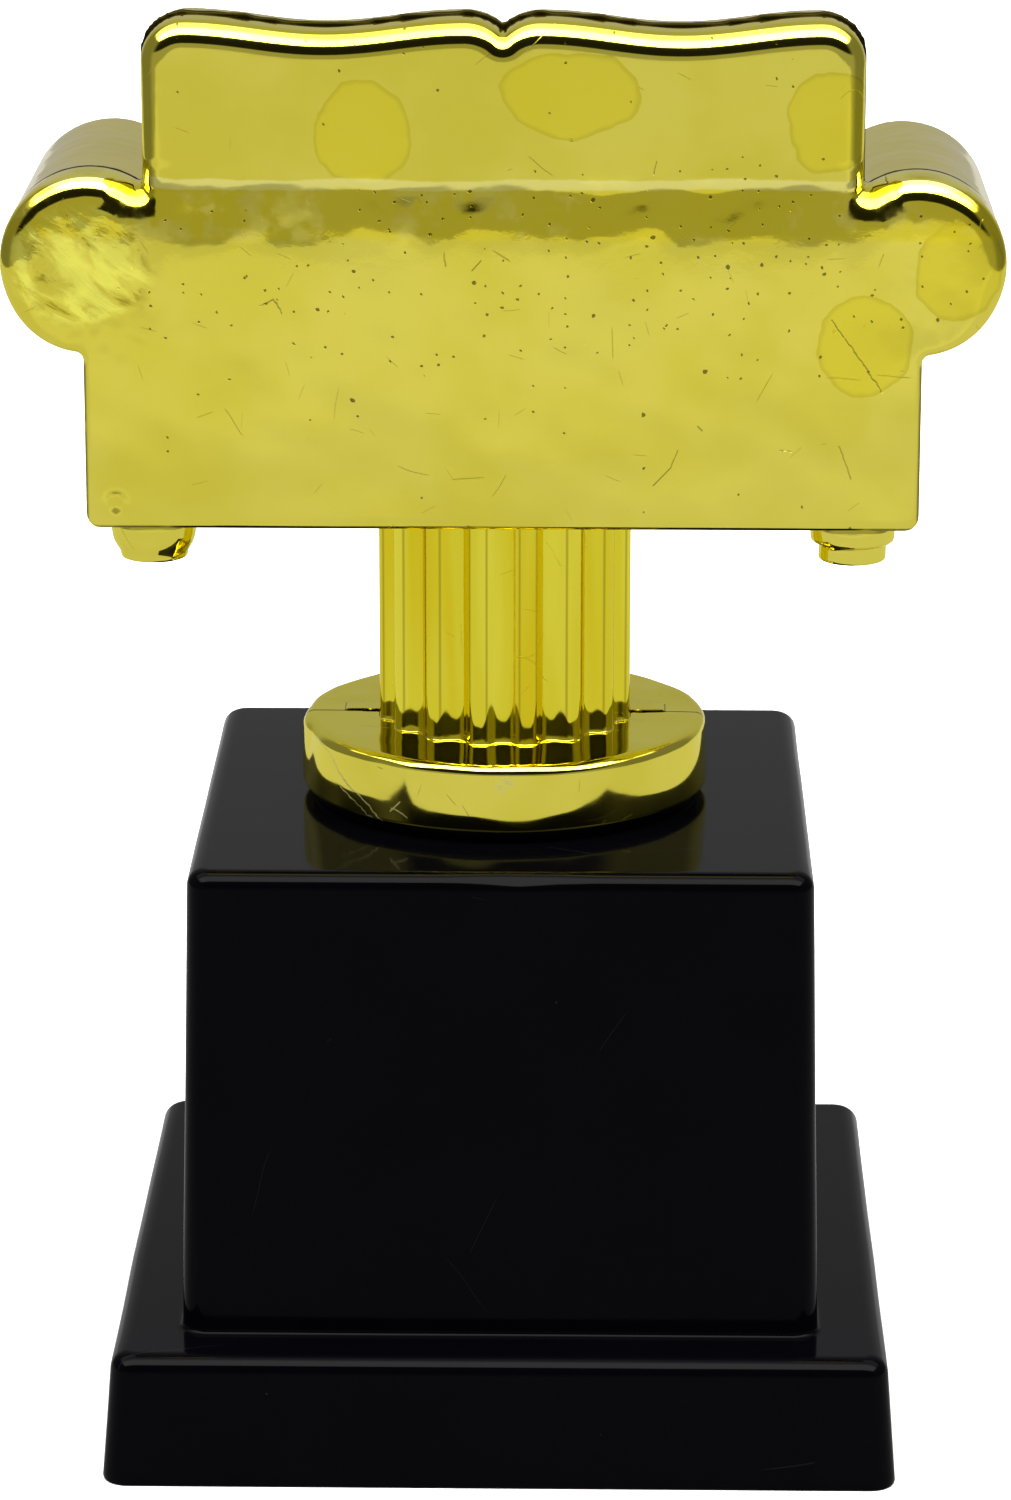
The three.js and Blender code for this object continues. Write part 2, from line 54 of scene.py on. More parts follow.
MM = 0.001

# Base.
PLINTH_WIDTH, PLINTH_TOP_WIDTH, PLINTH_HEIGHT = 76.2, 74.2, 12.8
BLOCK_WIDTH, BLOCK_TOP_WIDTH, BASE_HEIGHT = 61.4, 59.4, 58.9
BASE_CORNER, BASE_FILLET, BASE_WALL = 2.5, 1.7, 2.0
ROD_HOLE = 3.15

# Riser.
GASKET_RADIUS, GASKET_BOTTOM = 19.0, 58.95
RISER_BOTTOM, RISER_TOP = 60.0, 89.95
DISC_RADIUS, DISC_TOP_RADIUS, DISC_THICKNESS = 20.0, 19.8, 6.65
DISC_TOP_FILLET, DISC_BOTTOM_FILLET = 1.0, 0.5
DISC_TOP = RISER_BOTTOM + DISC_THICKNESS
DISC_SOCKET, RISER_WALL, RISER_SEAM = 17.7, 1.8, 0.07
COLUMN_RADIUS, COLUMN_BORE = 12.5, 9.5
FLUTES, FLUTE_DEPTH, FLUTE_HALF = 16, 1.1, math.radians(7.25)

# Sofa. Heights (h) are above its underside. Depths are behind its middle.
FIGURE_BOTTOM = 90.0
BODY_HALF, BODY_DEPTH = 39.45, 18.0
BODY_CORNER = 1.3
ARM_X, ARM_H, ARM_RADIUS, ARM_INNER = 38.9, 24.8, 8.4, 30.9
FOLD = 32.9
BACKREST_HALF, BACKREST_DEPTH, BACKREST_FRONT = 33.75, 17.5, 7.0
BACKREST_CORNER = 4.0
LOBE, LOBE_X, LOBE_RADIUS, SAG = 47.7, 3.5, 5.07, 1.1
PARTING = 12.0
RIM, THIN_RIM, SKIRT = 2.35, 0.7, 0.5
LEAN_H, LEAN_SLOPE, HOOK_SLOPE = 26.4, 0.118, 0.23
ARM_FRONT, APRON_FRONT = 16.0, 14.0
DECK, CUSHION_TOP, CUSHION_FRONT = 9.6, 16.6, 15.2
BACK_CUSHION_TOP, BACK_CUSHION_FRONT = 44.2, 2.6
CUSHION_X, CUSHION_HALF = 15.6, 15.35
FOOT_HEIGHT, FOOT_RADIUS, FOOT_TIP = 4.3, 4.05, 3.25


# --- Mesh helpers ---------------------------------------------------------------------------------


def ripple(points, wavelength, seed, waves=36):
    """A smooth random field of about unit size, with bumps about one wavelength apart."""
    rng = np.random.default_rng(seed)
    points = np.asarray(points, float)
    turns = rng.normal(size=(waves, points.shape[1]))
    turns /= np.linalg.norm(turns, axis=1)[:, None]
    turns *= 2 * math.pi / (wavelength * rng.uniform(0.75, 1.5, waves))[:, None]
    phase = rng.uniform(0, 2 * math.pi, waves)
    return np.cos(points @ turns.T + phase).sum(1) * math.sqrt(2 / waves)


def smooth(value, low, high):
    """0 below low, 1 above high, and a soft step between them."""
    t = np.clip((np.asarray(value, float) - low) / (high - low), 0, 1)
    return t * t * (3 - 2 * t)


def make_piece(node, points, faces, material, sharp=None):
    """A finished piece from points in millimetres: it rides on the root body for its CAD node."""
    name = node + "_looks"
    mesh = bpy.data.meshes.new(name)
    mesh.from_pydata((np.asarray(points, float) * MM).tolist(), [], faces)
    bm = bmesh.new()
    bm.from_mesh(mesh)
    bmesh.ops.remove_doubles(bm, verts=bm.verts, dist=1e-7)
    bmesh.ops.recalc_face_normals(bm, faces=bm.faces)
    bm.to_mesh(mesh)
    bm.free()
    mesh.shade_smooth()
    if sharp is not None:
        mesh.set_sharp_from_angle(angle=math.radians(sharp))
    piece = bpy.data.objects.new(name, mesh)
    scene.collection.objects.link(piece)
    mesh.materials.append(material)
    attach(piece, "root")
    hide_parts(node)
    return piece


def stack(rings, cap_end=True, closed=False):
    """Points and faces of a body through rings with the same number of points."""
    count, levels = len(rings[0]), len(rings)
    faces = []
    for level in range(levels if closed else levels - 1):
        low, high = level * count, (level + 1) % levels * count
        for i in range(count):
            j = (i + 1) % count
            faces.append((low + i, low + j, high + j, high + i))
    if not closed:
        faces.append(tuple(range(count)))
    if cap_end and not closed:
        faces.append(tuple(range((levels - 1) * count, levels * count)))
    return np.concatenate(rings), faces


def quarter(steps):
    """Angles from 0 to 90 degrees."""
    return np.linspace(0, math.pi / 2, steps + 1)


def circle(radius, z, count):
    """A level ring of evenly spaced points, from the middle of its -Y side."""
    turn = np.arange(count) / count * 2 * math.pi
    return np.column_stack([radius * np.sin(turn), -radius * np.cos(turn), np.full(count, z)])


def node_box(name):
    """The corners of a CAD node's box in mm."""
    return (np.array(corner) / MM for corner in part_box(name))


# --- Node helpers ---------------------------------------------------------------------------------


class Value:
    """A node's output as a term in a formula. A vector in a formula makes it a vector formula."""

    def __init__(self, graph, socket, is_vector=False):
        self.graph, self.socket, self.is_vector = graph, socket, is_vector

    def __add__(self, other):
        return self.graph.math("ADD", self, other)

    def __sub__(self, other):
        return self.graph.math("SUBTRACT", self, other)

    def __rsub__(self, other):
        return self.graph.math("SUBTRACT", other, self)

    def __mul__(self, other):
        return self.graph.math("MULTIPLY", self, other)

    def __truediv__(self, other):
        return self.graph.math("DIVIDE", self, other)

    def __abs__(self):
        return self.graph.math("ABSOLUTE", self)


class Graph:
    """A short way to write a node tree: a Value is linked, and anything else is set."""

    def __init__(self, owner):
        owner.use_nodes = True
        self.tree = owner.node_tree
        self.tree.nodes.clear()

    def node(self, kind, values=None, **settings):
        made = self.tree.nodes.new(kind)
        for key, value in settings.items():
            setattr(made, key, value)
        for key, value in (values or {}).items():
            if isinstance(value, Value):
                self.tree.links.new(value.socket, made.inputs[key])
            else:
                made.inputs[key].default_value = value
        return made

    def math(self, operation, *values, clamp=False):
        inputs = dict(enumerate(values))
        if not any(isinstance(v, tuple) or getattr(v, "is_vector", False) for v in values):
            made = self.node("ShaderNodeMath", inputs, operation=operation, use_clamp=clamp)
            return Value(self, made.outputs[0])
        made = self.node("ShaderNodeVectorMath", inputs, operation=operation)
        is_number = operation in ("LENGTH", "DISTANCE", "DOT_PRODUCT")
        return Value(self, made.outputs[1 if is_number else 0], not is_number)

    def coordinates(self, name="Object"):
        return Value(self, self.node("ShaderNodeTexCoord").outputs[name], True)

    def split(self, vector, kind="XYZ"):
        made = self.node("ShaderNodeSeparate" + kind, {0: vector})
        return [Value(self, output) for output in made.outputs]

    def join(self, x, y):
        return Value(self, self.node("ShaderNodeCombineXYZ", {"X": x, "Y": y}).outputs[0], True)

    def camera_ray(self):
        return Value(self, self.node("ShaderNodeLightPath").outputs["Is Camera Ray"])

    def step(self, value, low, high, start=0.0, end=1.0):
        """A soft step of value from low to high."""
        made = self.node(
            "ShaderNodeMapRange",
            {"Value": value, "From Min": low, "From Max": high, "To Min": start, "To Max": end},
            interpolation_type="SMOOTHSTEP")
        return Value(self, made.outputs["Result"])

    def band(self, value, low, high, soft):
        """1 between low and high, with soft sides."""
        rise = self.step(value, low - soft, low + soft)
        return rise * self.step(value, high - soft, high + soft, 1.0, 0.0)

    def mix(self, share, a, b):
        """A blend of two colours."""
        a, b = ((*c, 1) if isinstance(c, tuple) else c for c in (a, b))
        made = self.node("ShaderNodeMix", {0: share, 6: a, 7: b}, data_type="RGBA")
        return Value(self, made.outputs[2])

    def blend(self, share, a, b):
        """A blend of two numbers."""
        made = self.node("ShaderNodeMix", {0: share, 2: a, 3: b}, data_type="FLOAT")
        return Value(self, made.outputs[0])

    def noise(self, place, size, detail=2.0, roughness=0.5, distortion=0.0, output="Fac"):
        """Noise with features about size millimetres across."""
        made = self.node(
            "ShaderNodeTexNoise",
            {"Vector": place, "Scale": 1000 / size, "Detail": detail, "Roughness": roughness,
             "Distortion": distortion})
        return Value(self, made.outputs[output], output == "Color")

    def shaken(self, place, size, detail, reach):
        """Coordinates moved about by noise, up to reach mm."""
        return self.noise(place, size, detail) * ((reach * MM,) * 3) + place

    def cells(self, place, size, dimensions="3D"):
        """Random cells of size mm: the distance to a cell's middle, its middle and its colour."""
        made = self.node(
            "ShaderNodeTexVoronoi", {"Vector": place, "Scale": 1000 / size},
            voronoi_dimensions=dimensions)
        middle, colour = (Value(self, made.outputs[key], True) for key in ("Position", "Color"))
        return Value(self, made.outputs["Distance"]), middle, colour

    def specks(self, place, size, radius, share, dimensions="3D"):
        """1 inside round specks: a share of cells of size mm holds one each, radius mm in radius."""
        far, _, lot = self.cells(place, size, dimensions)
        reach = self.noise(place, size * 0.2, 1.0) * (radius / size) + radius / size * 0.5
        inside = 1.0 - self.step(far, 0.0, 1.0)
        near = self.math("LESS_THAN", far, reach)
        chosen = self.math("LESS_THAN", self.split(lot, "Color")[0], share)
        return near * chosen * inside

    def scratches(self, place, size, width, share):
        """1 on straight scratches: a share of cells of size mm holds one each, width mm wide."""
        _, middle, lot = self.cells(place, size)
        red, green, _ = self.split(lot, "Color")
        chosen = self.math("LESS_THAN", self.math("FRACT", red * 57.3 + green * 31.7), share)
        offset = place - middle
        across = self.math("NORMALIZE", lot - (0.5, 0.5, 0.5))
        along = self.math("NORMALIZE", self.math("CROSS_PRODUCT", across, (0.3, 0.9, 0.2)))
        far = abs(self.math("DOT_PRODUCT", offset, across))
        run = abs(self.math("DOT_PRODUCT", offset, along))
        line = self.step(far, 0.3 * width * MM, 0.6 * width * MM, 1.0, 0.0)
        return line * self.step(run, 0.2 * size * MM, 0.36 * size * MM, 1.0, 0.0) * chosen

    def strokes(self, place, lines, width):
        """1 on straight scratches between pairs of (x, z) points in mm, seen along Y."""
        flat = place * (1, 0, 1)
        found = 0.0
        for (x0, z0), (x1, z1) in lines:
            run = Vector((x1 - x0, 0, z1 - z0)) * MM
            offset = flat - (x0 * MM, 0, z0 * MM)
            share = self.math("DOT_PRODUCT", offset, tuple(run))
            share = self.math("DIVIDE", share, run.length_squared, clamp=True)
            foot = self.node(
                "ShaderNodeVectorMath", {0: tuple(run), "Scale": share}, operation="SCALE")
            far = self.math("DISTANCE", offset, Value(self, foot.outputs[0], True))
            line = self.step(far, 0.25 * width * MM, 0.6 * width * MM, 1.0, 0.0)
            found = self.math("MAXIMUM", found, line)
        return found

    def surface(self, height, distance, values):
        """A Principled shader over a bump of that height, as the material's surface."""
        bump = self.node(
            "ShaderNodeBump", {"Height": height, "Strength": 1.0, "Distance": distance})
        values = {**values, "Normal": Value(self, bump.outputs[0])}
        self.finish("Material", self.node("ShaderNodeBsdfPrincipled", values))

    def finish(self, kind, shader):
        """A shader as the output of this Material or World."""
        self.node("ShaderNodeOutput" + kind, {"Surface": Value(self, shader.outputs[0])})


# --- Materials ------------------------------------------------------------------------------------

# Dried drops on the back panel: x, z, half width, half height in mm.
STAINS = [
    (-13.1, 127.4, 4.5, 5.1),
    (6.4, 131.0, 6.6, 4.0),
    (30.6, 128.4, 4.2, 5.0),
    (34.0, 107.3, 4.6, 4.9),
    (42.8, 114.8, 4.4, 4.9),
]

# Scratches that stand out: pairs of (x, z) points in mm.
PANEL_SCRATCHES = [
    ((31.0, 110.1), (33.4, 106.9)), ((33.4, 106.9), (35.9, 103.2)), ((31.9, 98.0), (33.1, 94.9)),
    ((16.7, 97.5), (16.0, 95.8)), ((16.0, 95.8), (14.4, 94.1)), ((14.5, 125.0), (14.2, 123.7)),
    ((-22.6, 111.2), (-21.3, 111.9)), ((-21.3, 111.9), (-20.5, 110.6)),
    ((-5.3, 116.4), (-5.1, 115.2)), ((-2.7, 114.7), (-1.8, 115.7)),
    ((18.6, 99.9), (19.0, 99.5)), ((26.4, 97.6), (27.4, 97.4)),
]
DISC_SCRATCHES = [
    ((-18.1, 66.3), (-16.6, 65.6)), ((-16.6, 65.6), (-15.3, 63.5)), ((-15.3, 63.5), (-12.6, 61.6)),
    ((-12.6, 61.6), (-10.9, 60.0)), ((-15.5, 62.6), (-12.3, 60.5)), ((-10.4, 61.9), (-8.8, 61.3)),
    ((-9.6, 62.6), (-10.5, 61.6)),
]

PIT = (0.13, 0.09, 0.01)


class Look:
    """What a material has been given so far."""

    def __init__(self, graph, colour, rough, height):
        self.graph, self.colour, self.rough, self.height = graph, colour, rough, height

    def paint(self, mask, share, colour):
        self.colour = self.graph.mix(mask * share, self.colour, colour)


def stain_rings(graph, place):
    """The rims and the insides of the dried drops, as two masks."""
    warp = graph.noise(place, 1000 / 260, output="Color")
    bent = warp * ((0.0022,) * 3) + (-0.0011,) * 3 + place
    rim, inside = 0.0, 0.0
    for x, z, wide, high in STAINS:
        spot = (bent - (x * MM, -17.4 * MM, z * MM)) * (1000 / wide, 1000 / 6.0, 1000 / high)
        far = graph.math("LENGTH", spot)
        within = graph.step(far, 1.0, 0.97)
        rim = graph.math("MAXIMUM", rim, graph.step(far, 0.86, 0.985) * within)
        inside = graph.math("MAXIMUM", inside, within)
    return rim, inside


def gold_material(name, detail=None, pits=0.2, marks=0.15, coat=0.25, tint=0.5):
    """Vacuum-plated plastic under a clear yellow lacquer. detail(graph, place, look) adds what one
    piece has of its own."""
    material = bpy.data.materials.new(name)
    graph = Graph(material)
    place = graph.coordinates()
    cloud = graph.noise(place, 11.0, 3.0)
    fine = graph.noise(place, 1.6, 2.0)
    look = Look(
        graph,
        colour=graph.mix(graph.step(cloud, 0.35, 0.65), (0.78, 0.685, 0.060), (0.83, 0.738, 0.092)),
        rough=graph.noise(place, 4.0, 3.0) * 0.06 + 0.045,
        height=fine * 0.30 + cloud * 0.5)

    bent = graph.shaken(place, 5.0, 1.0, 0.9)
    scratch = graph.scratches(bent, 5.0, 0.075, marks)
    fleck = graph.scratches(bent + (0.0217, 0.0093, 0.0158), 2.4, 0.05, marks * 0.7)
    scratch = graph.math("MAXIMUM", scratch, fleck * 0.7)
    pit = graph.specks(place, 3.1, 0.17, pits)
    dot = graph.specks(place + (0.0131, 0.0057, 0.0083), 1.9, 0.085, pits)
    hole = graph.math("MAXIMUM", pit, dot)
    look.paint(hole, 0.85, PIT)
    look.paint(scratch, 0.5, (0.40, 0.31, 0.03))
    look.rough += scratch * 0.22
    look.height -= hole * 1.2 + scratch * 0.5
    if detail:
        detail(graph, place, look)
    graph.surface(look.height, 0.012 * MM, {
        "Base Color": look.colour,
        "Metallic": 1.0,
        "Roughness": look.rough,
        "Specular Tint": (1.0, 0.96, tint, 1),
        "Coat Weight": coat,
        "Coat Roughness": 0.03,
        "Coat IOR": 1.5,
    })
    return material


def panel_detail(graph, place, look):
    """The back panel: dried drops, a painted highlight along the fold, flaws in the plating below
    it.
    """
    rim, inside = stain_rings(graph, place)
    look.paint(inside, 0.75, (0.82, 0.705, 0.028))
    look.paint(rim, 0.35, (0.46, 0.38, 0.02))
    look.rough += inside * 0.03
    x, y, z = graph.split(place)
    patch = graph.noise(place, 7.0, 4.0, 0.6)
    edge = patch * 0.0012 + z
    fold = (FIGURE_BOTTOM + FOLD) * MM
    # Painted highlight: a pale line of colour along the fold.
    fold_highlight = graph.band(edge, fold - 0.25 * MM, fold + 0.75 * MM, 0.12 * MM)
    look.paint(fold_highlight, 0.8, (1.0, 0.92, 0.26))

    # A deeper yellow tint in the band under the fold, with paler, rougher patches.
    under = graph.band(edge, 0.1180, fold - 0.3 * MM, 0.5 * MM)
    look.paint(under, 0.6, (0.94, 0.78, 0.012))
    pale_patch = under * graph.step(patch, 0.50, 0.60)
    look.paint(pale_patch, 0.5, (0.98, 0.88, 0.18))
    look.rough += pale_patch * 0.10
    foam = graph.band(edge, 0.1150, 0.1195, 1.5 * MM) + under * 0.25
    look.height += foam * graph.noise(place, 1.1, 4.0, 0.65)

    # Pits, thickest under the fold and thinning out downwards.
    near = (place - (0.006, -0.018, 0.1145)) * (25, 8, 105)
    share = graph.step(graph.math("LENGTH", near), 1.3, 0.5, 0.10, 1.0)
    share = share * graph.step(graph.noise(place, 9.0, 2.0), 0.40, 0.58, 0.25, 1.0) * 0.55
    wobble = graph.noise(place, 1000 / 2400, 1.0, output="Color")
    face = wobble * ((0.0003,) * 3) + graph.join(x, z)
    flaw = graph.specks(face, 1.5, 0.12, share, "2D")
    blot = graph.specks(face + (0.0031, 0.0069, 0), 5.5, 0.20, share, "2D")
    flaw = graph.math("MAXIMUM", flaw, blot)
    line = graph.strokes(graph.shaken(place, 0.7, 2.0, 0.3), PANEL_SCRATCHES, 0.12)
    look.paint(flaw, 0.85, PIT)
    look.paint(line, 0.5, (0.16, 0.12, 0.01))
    look.height -= graph.math("MAXIMUM", flaw, line) * 1.5

    # The crumpled film on the left arm: its crumples are in the bump, with painted highlight streaks
    # on them and painted shade in the creases.
    far = graph.math("LENGTH", (place - (-0.0395, -0.018, 0.1150)) * (150, 10, 180))
    film = graph.step(patch * 0.9 + far, 1.55, 1.25)
    along = graph.math("DOT_PRODUCT", place, (0.79, 0, -0.62)) * 0.35
    across = graph.math("DOT_PRODUCT", place, (0.62, 0, 0.79))
    crease = graph.noise(graph.join(along, across), 2.0, 4.0, 0.6, 0.6)
    # Painted highlight streaks on the crumples, then painted shade in the creases.
    look.paint(film * graph.step(crease, 0.44, 0.58), 0.95, (1.0, 0.96, 0.13))
    look.paint(film * graph.step(crease, 0.42, 0.34), 0.8, (0.36, 0.29, 0.01))
    look.height += film * crease * 2.5

    # Painted shade, patchy, along the body's lower edges at the back.
    side = graph.step(abs(x), 0.03905, 0.03935) * graph.step(z, 0.1058, 0.1052)
    edge_shade = graph.math("MAXIMUM", side, graph.step(z, 0.08995, 0.08970))
    edge_shade = edge_shade * graph.step(y, -0.0170, -0.0176)
    shade_patchiness = graph.step(graph.noise(place, 3.0, 4.0), 0.30, 0.50, 0.35, 0.9)
    # Painted shade: dark along the bottom edge and the lower side edges.
    look.paint(edge_shade, shade_patchiness, (0.12, 0.09, 0.01))


def seat_detail(graph, place, look):
    """The seat side: a dark, dull line along the joint with the back."""
    _, y, z = graph.split(place)
    wander = graph.noise(place, 2.5, 3.0) * 0.0016 + y
    dark = graph.math("LESS_THAN", wander, graph.step(z, 0.1335, 0.1345, -0.0104, -0.0092))
    look.paint(dark, 0.99, (0.010, 0.007, 0.001))
    look.rough += dark * 0.35


def riser_detail(graph, place, look):
    """The riser: dark lines along its seam and round its pads, painted shade lines at the flutes,
    painted reflections up the column, scuffs.
    """
    x, y, z = graph.split(place)
    pad = graph.math("MAXIMUM", abs(abs(x) - 0.0139) - 0.0018, abs(y - 0.0013) - 0.0014)
    line = graph.band(pad, 0.00002, 0.00018, 0.00005)
    line = graph.math("MAXIMUM", line, graph.step(abs(y), 0.00022, 0.00008))
    line = line * graph.step(z, 0.0664, 0.0665)
    # Painted reflections up the column: a deeper tint over the shaft, with darker and paler streaks.
    reflection_streak = graph.noise(place * (1, 1, 0.06), 4.2, 2.0)
    shaft = graph.step(z, 0.0668, 0.0672)
    look.paint(shaft, 0.75, (0.84, 0.735, 0.012))
    look.paint(shaft * graph.step(reflection_streak, 0.48, 0.62), 0.9, (0.80, 0.64, 0.006))
    look.paint(shaft * graph.step(reflection_streak, 0.46, 0.36), 0.5, (0.95, 0.86, 0.07))

    # Thin painted shade lines where the flutes meet their lands.
    turns = FLUTES / (2 * math.pi)
    turn = graph.math("FRACT", graph.math("ARCTAN2", x, y * -1.0) * turns + 0.5)
    mouth = FLUTE_HALF * turns
    flute_shade = graph.band(abs(turn - 0.5), mouth - 0.012, mouth + 0.028, 0.012) * shaft
    look.paint(flute_shade, 0.6, (0.36, 0.28, 0.005))

    scuff = graph.strokes(graph.shaken(place, 0.9, 2.0, 0.5), DISC_SCRATCHES, 0.14)
    scuff = scuff * graph.step(y, -0.005, -0.006)
    far = graph.math("LENGTH", (place - (0.0003, -0.020, 0.0650)) * (900, 300, 900))
    dry = graph.step(far, 1.2, 0.3) * graph.step(graph.noise(place, 0.6, 3.0), 0.4, 0.6)
    scuff = graph.math("MAXIMUM", scuff, dry * 0.6)
    look.paint(scuff, 0.6, (0.75, 0.70, 0.42))
    look.rough += scuff * 0.4
    look.paint(line, 0.85, (0.10, 0.07, 0.01))


def black_material(name, level=0.038, gloss=0.07):
    """Glossy black moulded polystyrene with faint handling scuffs."""
    material = bpy.data.materials.new(name)
    graph = Graph(material)
    place = graph.coordinates()
    cloud = graph.noise(place, 16.0, 4.0, 0.6)
    scratch = graph.scratches(graph.shaken(place, 9.0, 1.0, 2.0), 11.0, 0.06, 0.22)
    smear = graph.step(graph.noise(place, 9.0, 5.0, 0.65, 0.6), 0.56, 0.76)
    look = Look(
        graph,
        colour=graph.mix(cloud, (0.0004, 0.0004, 0.0008), (0.0011, 0.0010, 0.0017)),
        rough=cloud * 0.04 + gloss + smear * 0.08 + scratch * 0.2,
        height=cloud * 2.0 + graph.noise(place, 2.2, 2.0) * 0.3 - scratch * 0.6)
    look.paint(scratch, 0.5, (0.010, 0.010, 0.012))
    look.paint(graph.specks(place, 4.6, 0.11, 0.2), 0.5, (0.020, 0.020, 0.020))
    graph.surface(look.height, 0.01 * MM, {
        "Base Color": look.colour, "Roughness": look.rough, "IOR": 1.5,
        "Specular IOR Level": level})
    return material


def plain_material(
        name, dark, light, rough, grain, metallic=0.0, bump_height=0.03, fibres=(1, 1, 1)):
    """A matt or metallic material between two tones, with grain and bumps of those sizes in mm."""
    material = bpy.data.materials.new(name)
    graph = Graph(material)
    place = graph.coordinates() * fibres
    broad = graph.noise(place, grain * 6, 4.0, 0.6)
    fine = graph.noise(place, grain, 3.0, 0.6)
    tone = graph.step(fine * 0.5 + broad * 0.5, 0.3, 0.7)
    graph.surface(fine, bump_height * MM, {
        "Base Color": graph.mix(tone, dark, light), "Metallic": metallic,
        "Roughness": fine * 0.15 + rough})
    return material


GOLD_PANEL = gold_material("gold_back_panel", panel_detail, pits=0.12, marks=0.16)
GOLD_SEAT = gold_material("gold_seat_side", seat_detail, pits=0.03, coat=0.0, tint=0.85)
GOLD_RISER = gold_material("gold_riser", riser_detail, pits=0.03)
GOLD = gold_material("gold_plated", pits=0.03)
BLACK = black_material("black_gloss")
RUBBER = black_material("black_gasket", level=0.03, gloss=0.35)
FELT = plain_material(
    "felt", (0.006, 0.006, 0.007), (0.03, 0.03, 0.032), 0.85, 0.25, bump_height=0.2)
BOARD = plain_material("greyboard", (0.09, 0.065, 0.04), (0.16, 0.12, 0.08), 0.8, 0.4)
PLASTER = plain_material("plaster", (0.38, 0.35, 0.29), (0.5, 0.47, 0.41), 0.85, 0.7)
ZINC = plain_material("zinc_plated_steel", (0.36, 0.37, 0.38), (0.5, 0.5, 0.5), 0.28, 0.8, 1.0)
FOAM = plain_material("foam_tape", (0.6, 0.6, 0.57), (0.75, 0.75, 0.72), 0.7, 0.3)
PLATE = plain_material(
    "brushed_plate", (0.46, 0.33, 0.09), (0.62, 0.47, 0.15), 0.22, 0.5, 1.0, 0.02, (0.06, 1, 3))


# --- Base -----------------------------------------------------------------------------------------


def square_ring(width, radius, z, arc_steps=12, side_steps=14):
    """A ring round a square with round corners, counter-clockwise from the +X side's middle."""
    reach = width / 2 - radius
    ring = []
    for corner in range(4):
        middle = math.pi / 4 + corner * math.pi / 2
        centre = np.sign([math.cos(middle), math.sin(middle)]) * reach
        angles = middle + (np.linspace(0, 1, arc_steps + 1) - 0.5) * (math.pi / 2)
        arc_points = centre + radius * np.stack([np.cos(angles), np.sin(angles)], 1)
        following = middle + math.pi / 2
        next_centre = np.sign([math.cos(following), math.sin(following)]) * reach
        run = next_centre - centre
        shares = np.linspace(0, 1, side_steps + 2)[1:-1, None]
        ring.extend(arc_points)
        ring.extend(arc_points[-1] + run * shares)
    return np.column_stack([np.array(ring), np.full(len(ring), z)])


def round_ring(radius, z, like):
    """A circle whose points lie at the same angles as another ring's."""
    outward = like[:, :2] / np.linalg.norm(like[:, :2], axis=1)[:, None]
    return np.column_stack([radius * outward, np.full(len(like), z)])


def width_at(z):
    """Outer width of the plinth (below its top) or the block."""
    if z <= PLINTH_HEIGHT:
        return np.interp(z, [0, PLINTH_HEIGHT], [PLINTH_WIDTH, PLINTH_TOP_WIDTH])
    return np.interp(z, [PLINTH_HEIGHT, BASE_HEIGHT], [BLOCK_WIDTH, BLOCK_TOP_WIDTH])


def rounded_top(top, fillet):
    """Squares (width, corner, height) over a rounded edge, from the side face to the flat top."""
    squares = []
    for angle in quarter(10):
        z = top - fillet * (1 - math.sin(angle))
        inset = fillet * (1 - math.cos(angle))
        squares.append((width_at(z) - 2 * inset, max(BASE_CORNER - inset, 0.35), z))
    return squares


def base_rings():
    """Up the outside, over the top to the rod's hole, and down the inside."""
    root = 0.45
    outer_top, inner_top = BASE_HEIGHT, BASE_HEIGHT - BASE_WALL
    step_under = PLINTH_HEIGHT - BASE_WALL
    squares = [(PLINTH_WIDTH - 0.7, BASE_CORNER - 0.3, 0.0),
               (PLINTH_WIDTH - 0.2, BASE_CORNER - 0.05, 0.1)]
    squares += [(width_at(z), BASE_CORNER, z) for z in (0.35, 1.0, 6.0, 10.2)]
    squares += rounded_top(PLINTH_HEIGHT, BASE_FILLET)
    squares.append((PLINTH_TOP_WIDTH - 2 * BASE_FILLET - 0.5, 0.6, PLINTH_HEIGHT))
    squares.append((BLOCK_WIDTH + 2 * root + 0.5, BASE_CORNER + root, PLINTH_HEIGHT))
    for angle in quarter(5):
        out = root * (1 - math.sin(angle))
        z = PLINTH_HEIGHT + root * (1 - math.cos(angle))
        squares.append((width_at(z + 0.01) + 2 * out, BASE_CORNER + out, z))
    squares += [(width_at(z), BASE_CORNER, z) for z in (14.0, 20.0, 35.0, 50.0, 56.2)]
    squares += rounded_top(outer_top, BASE_FILLET)
    flat = square_ring(*squares[-1])
    squares.append((BLOCK_TOP_WIDTH - 2 * BASE_FILLET - 0.5, 0.6, outer_top))
    circles = [(GASKET_RADIUS + 2, outer_top), (ROD_HOLE, outer_top), (ROD_HOLE, inner_top)]
    inner = [
        (width_at(inner_top) - 2 * BASE_WALL, 1.0, inner_top),
        (width_at(13.0) - 2 * BASE_WALL, 1.0, step_under),
        (PLINTH_TOP_WIDTH - 2 * BASE_WALL, 1.2, step_under),
        (PLINTH_WIDTH - 2 * BASE_WALL - 0.1, 1.5, 0.2),
        (PLINTH_WIDTH - 2 * BASE_WALL + 0.3, 1.7, 0.0),
    ]
    return ([square_ring(*square) for square in squares]
            + [round_ring(radius, z, flat) for radius, z in circles]
            + [square_ring(*square) for square in inner])


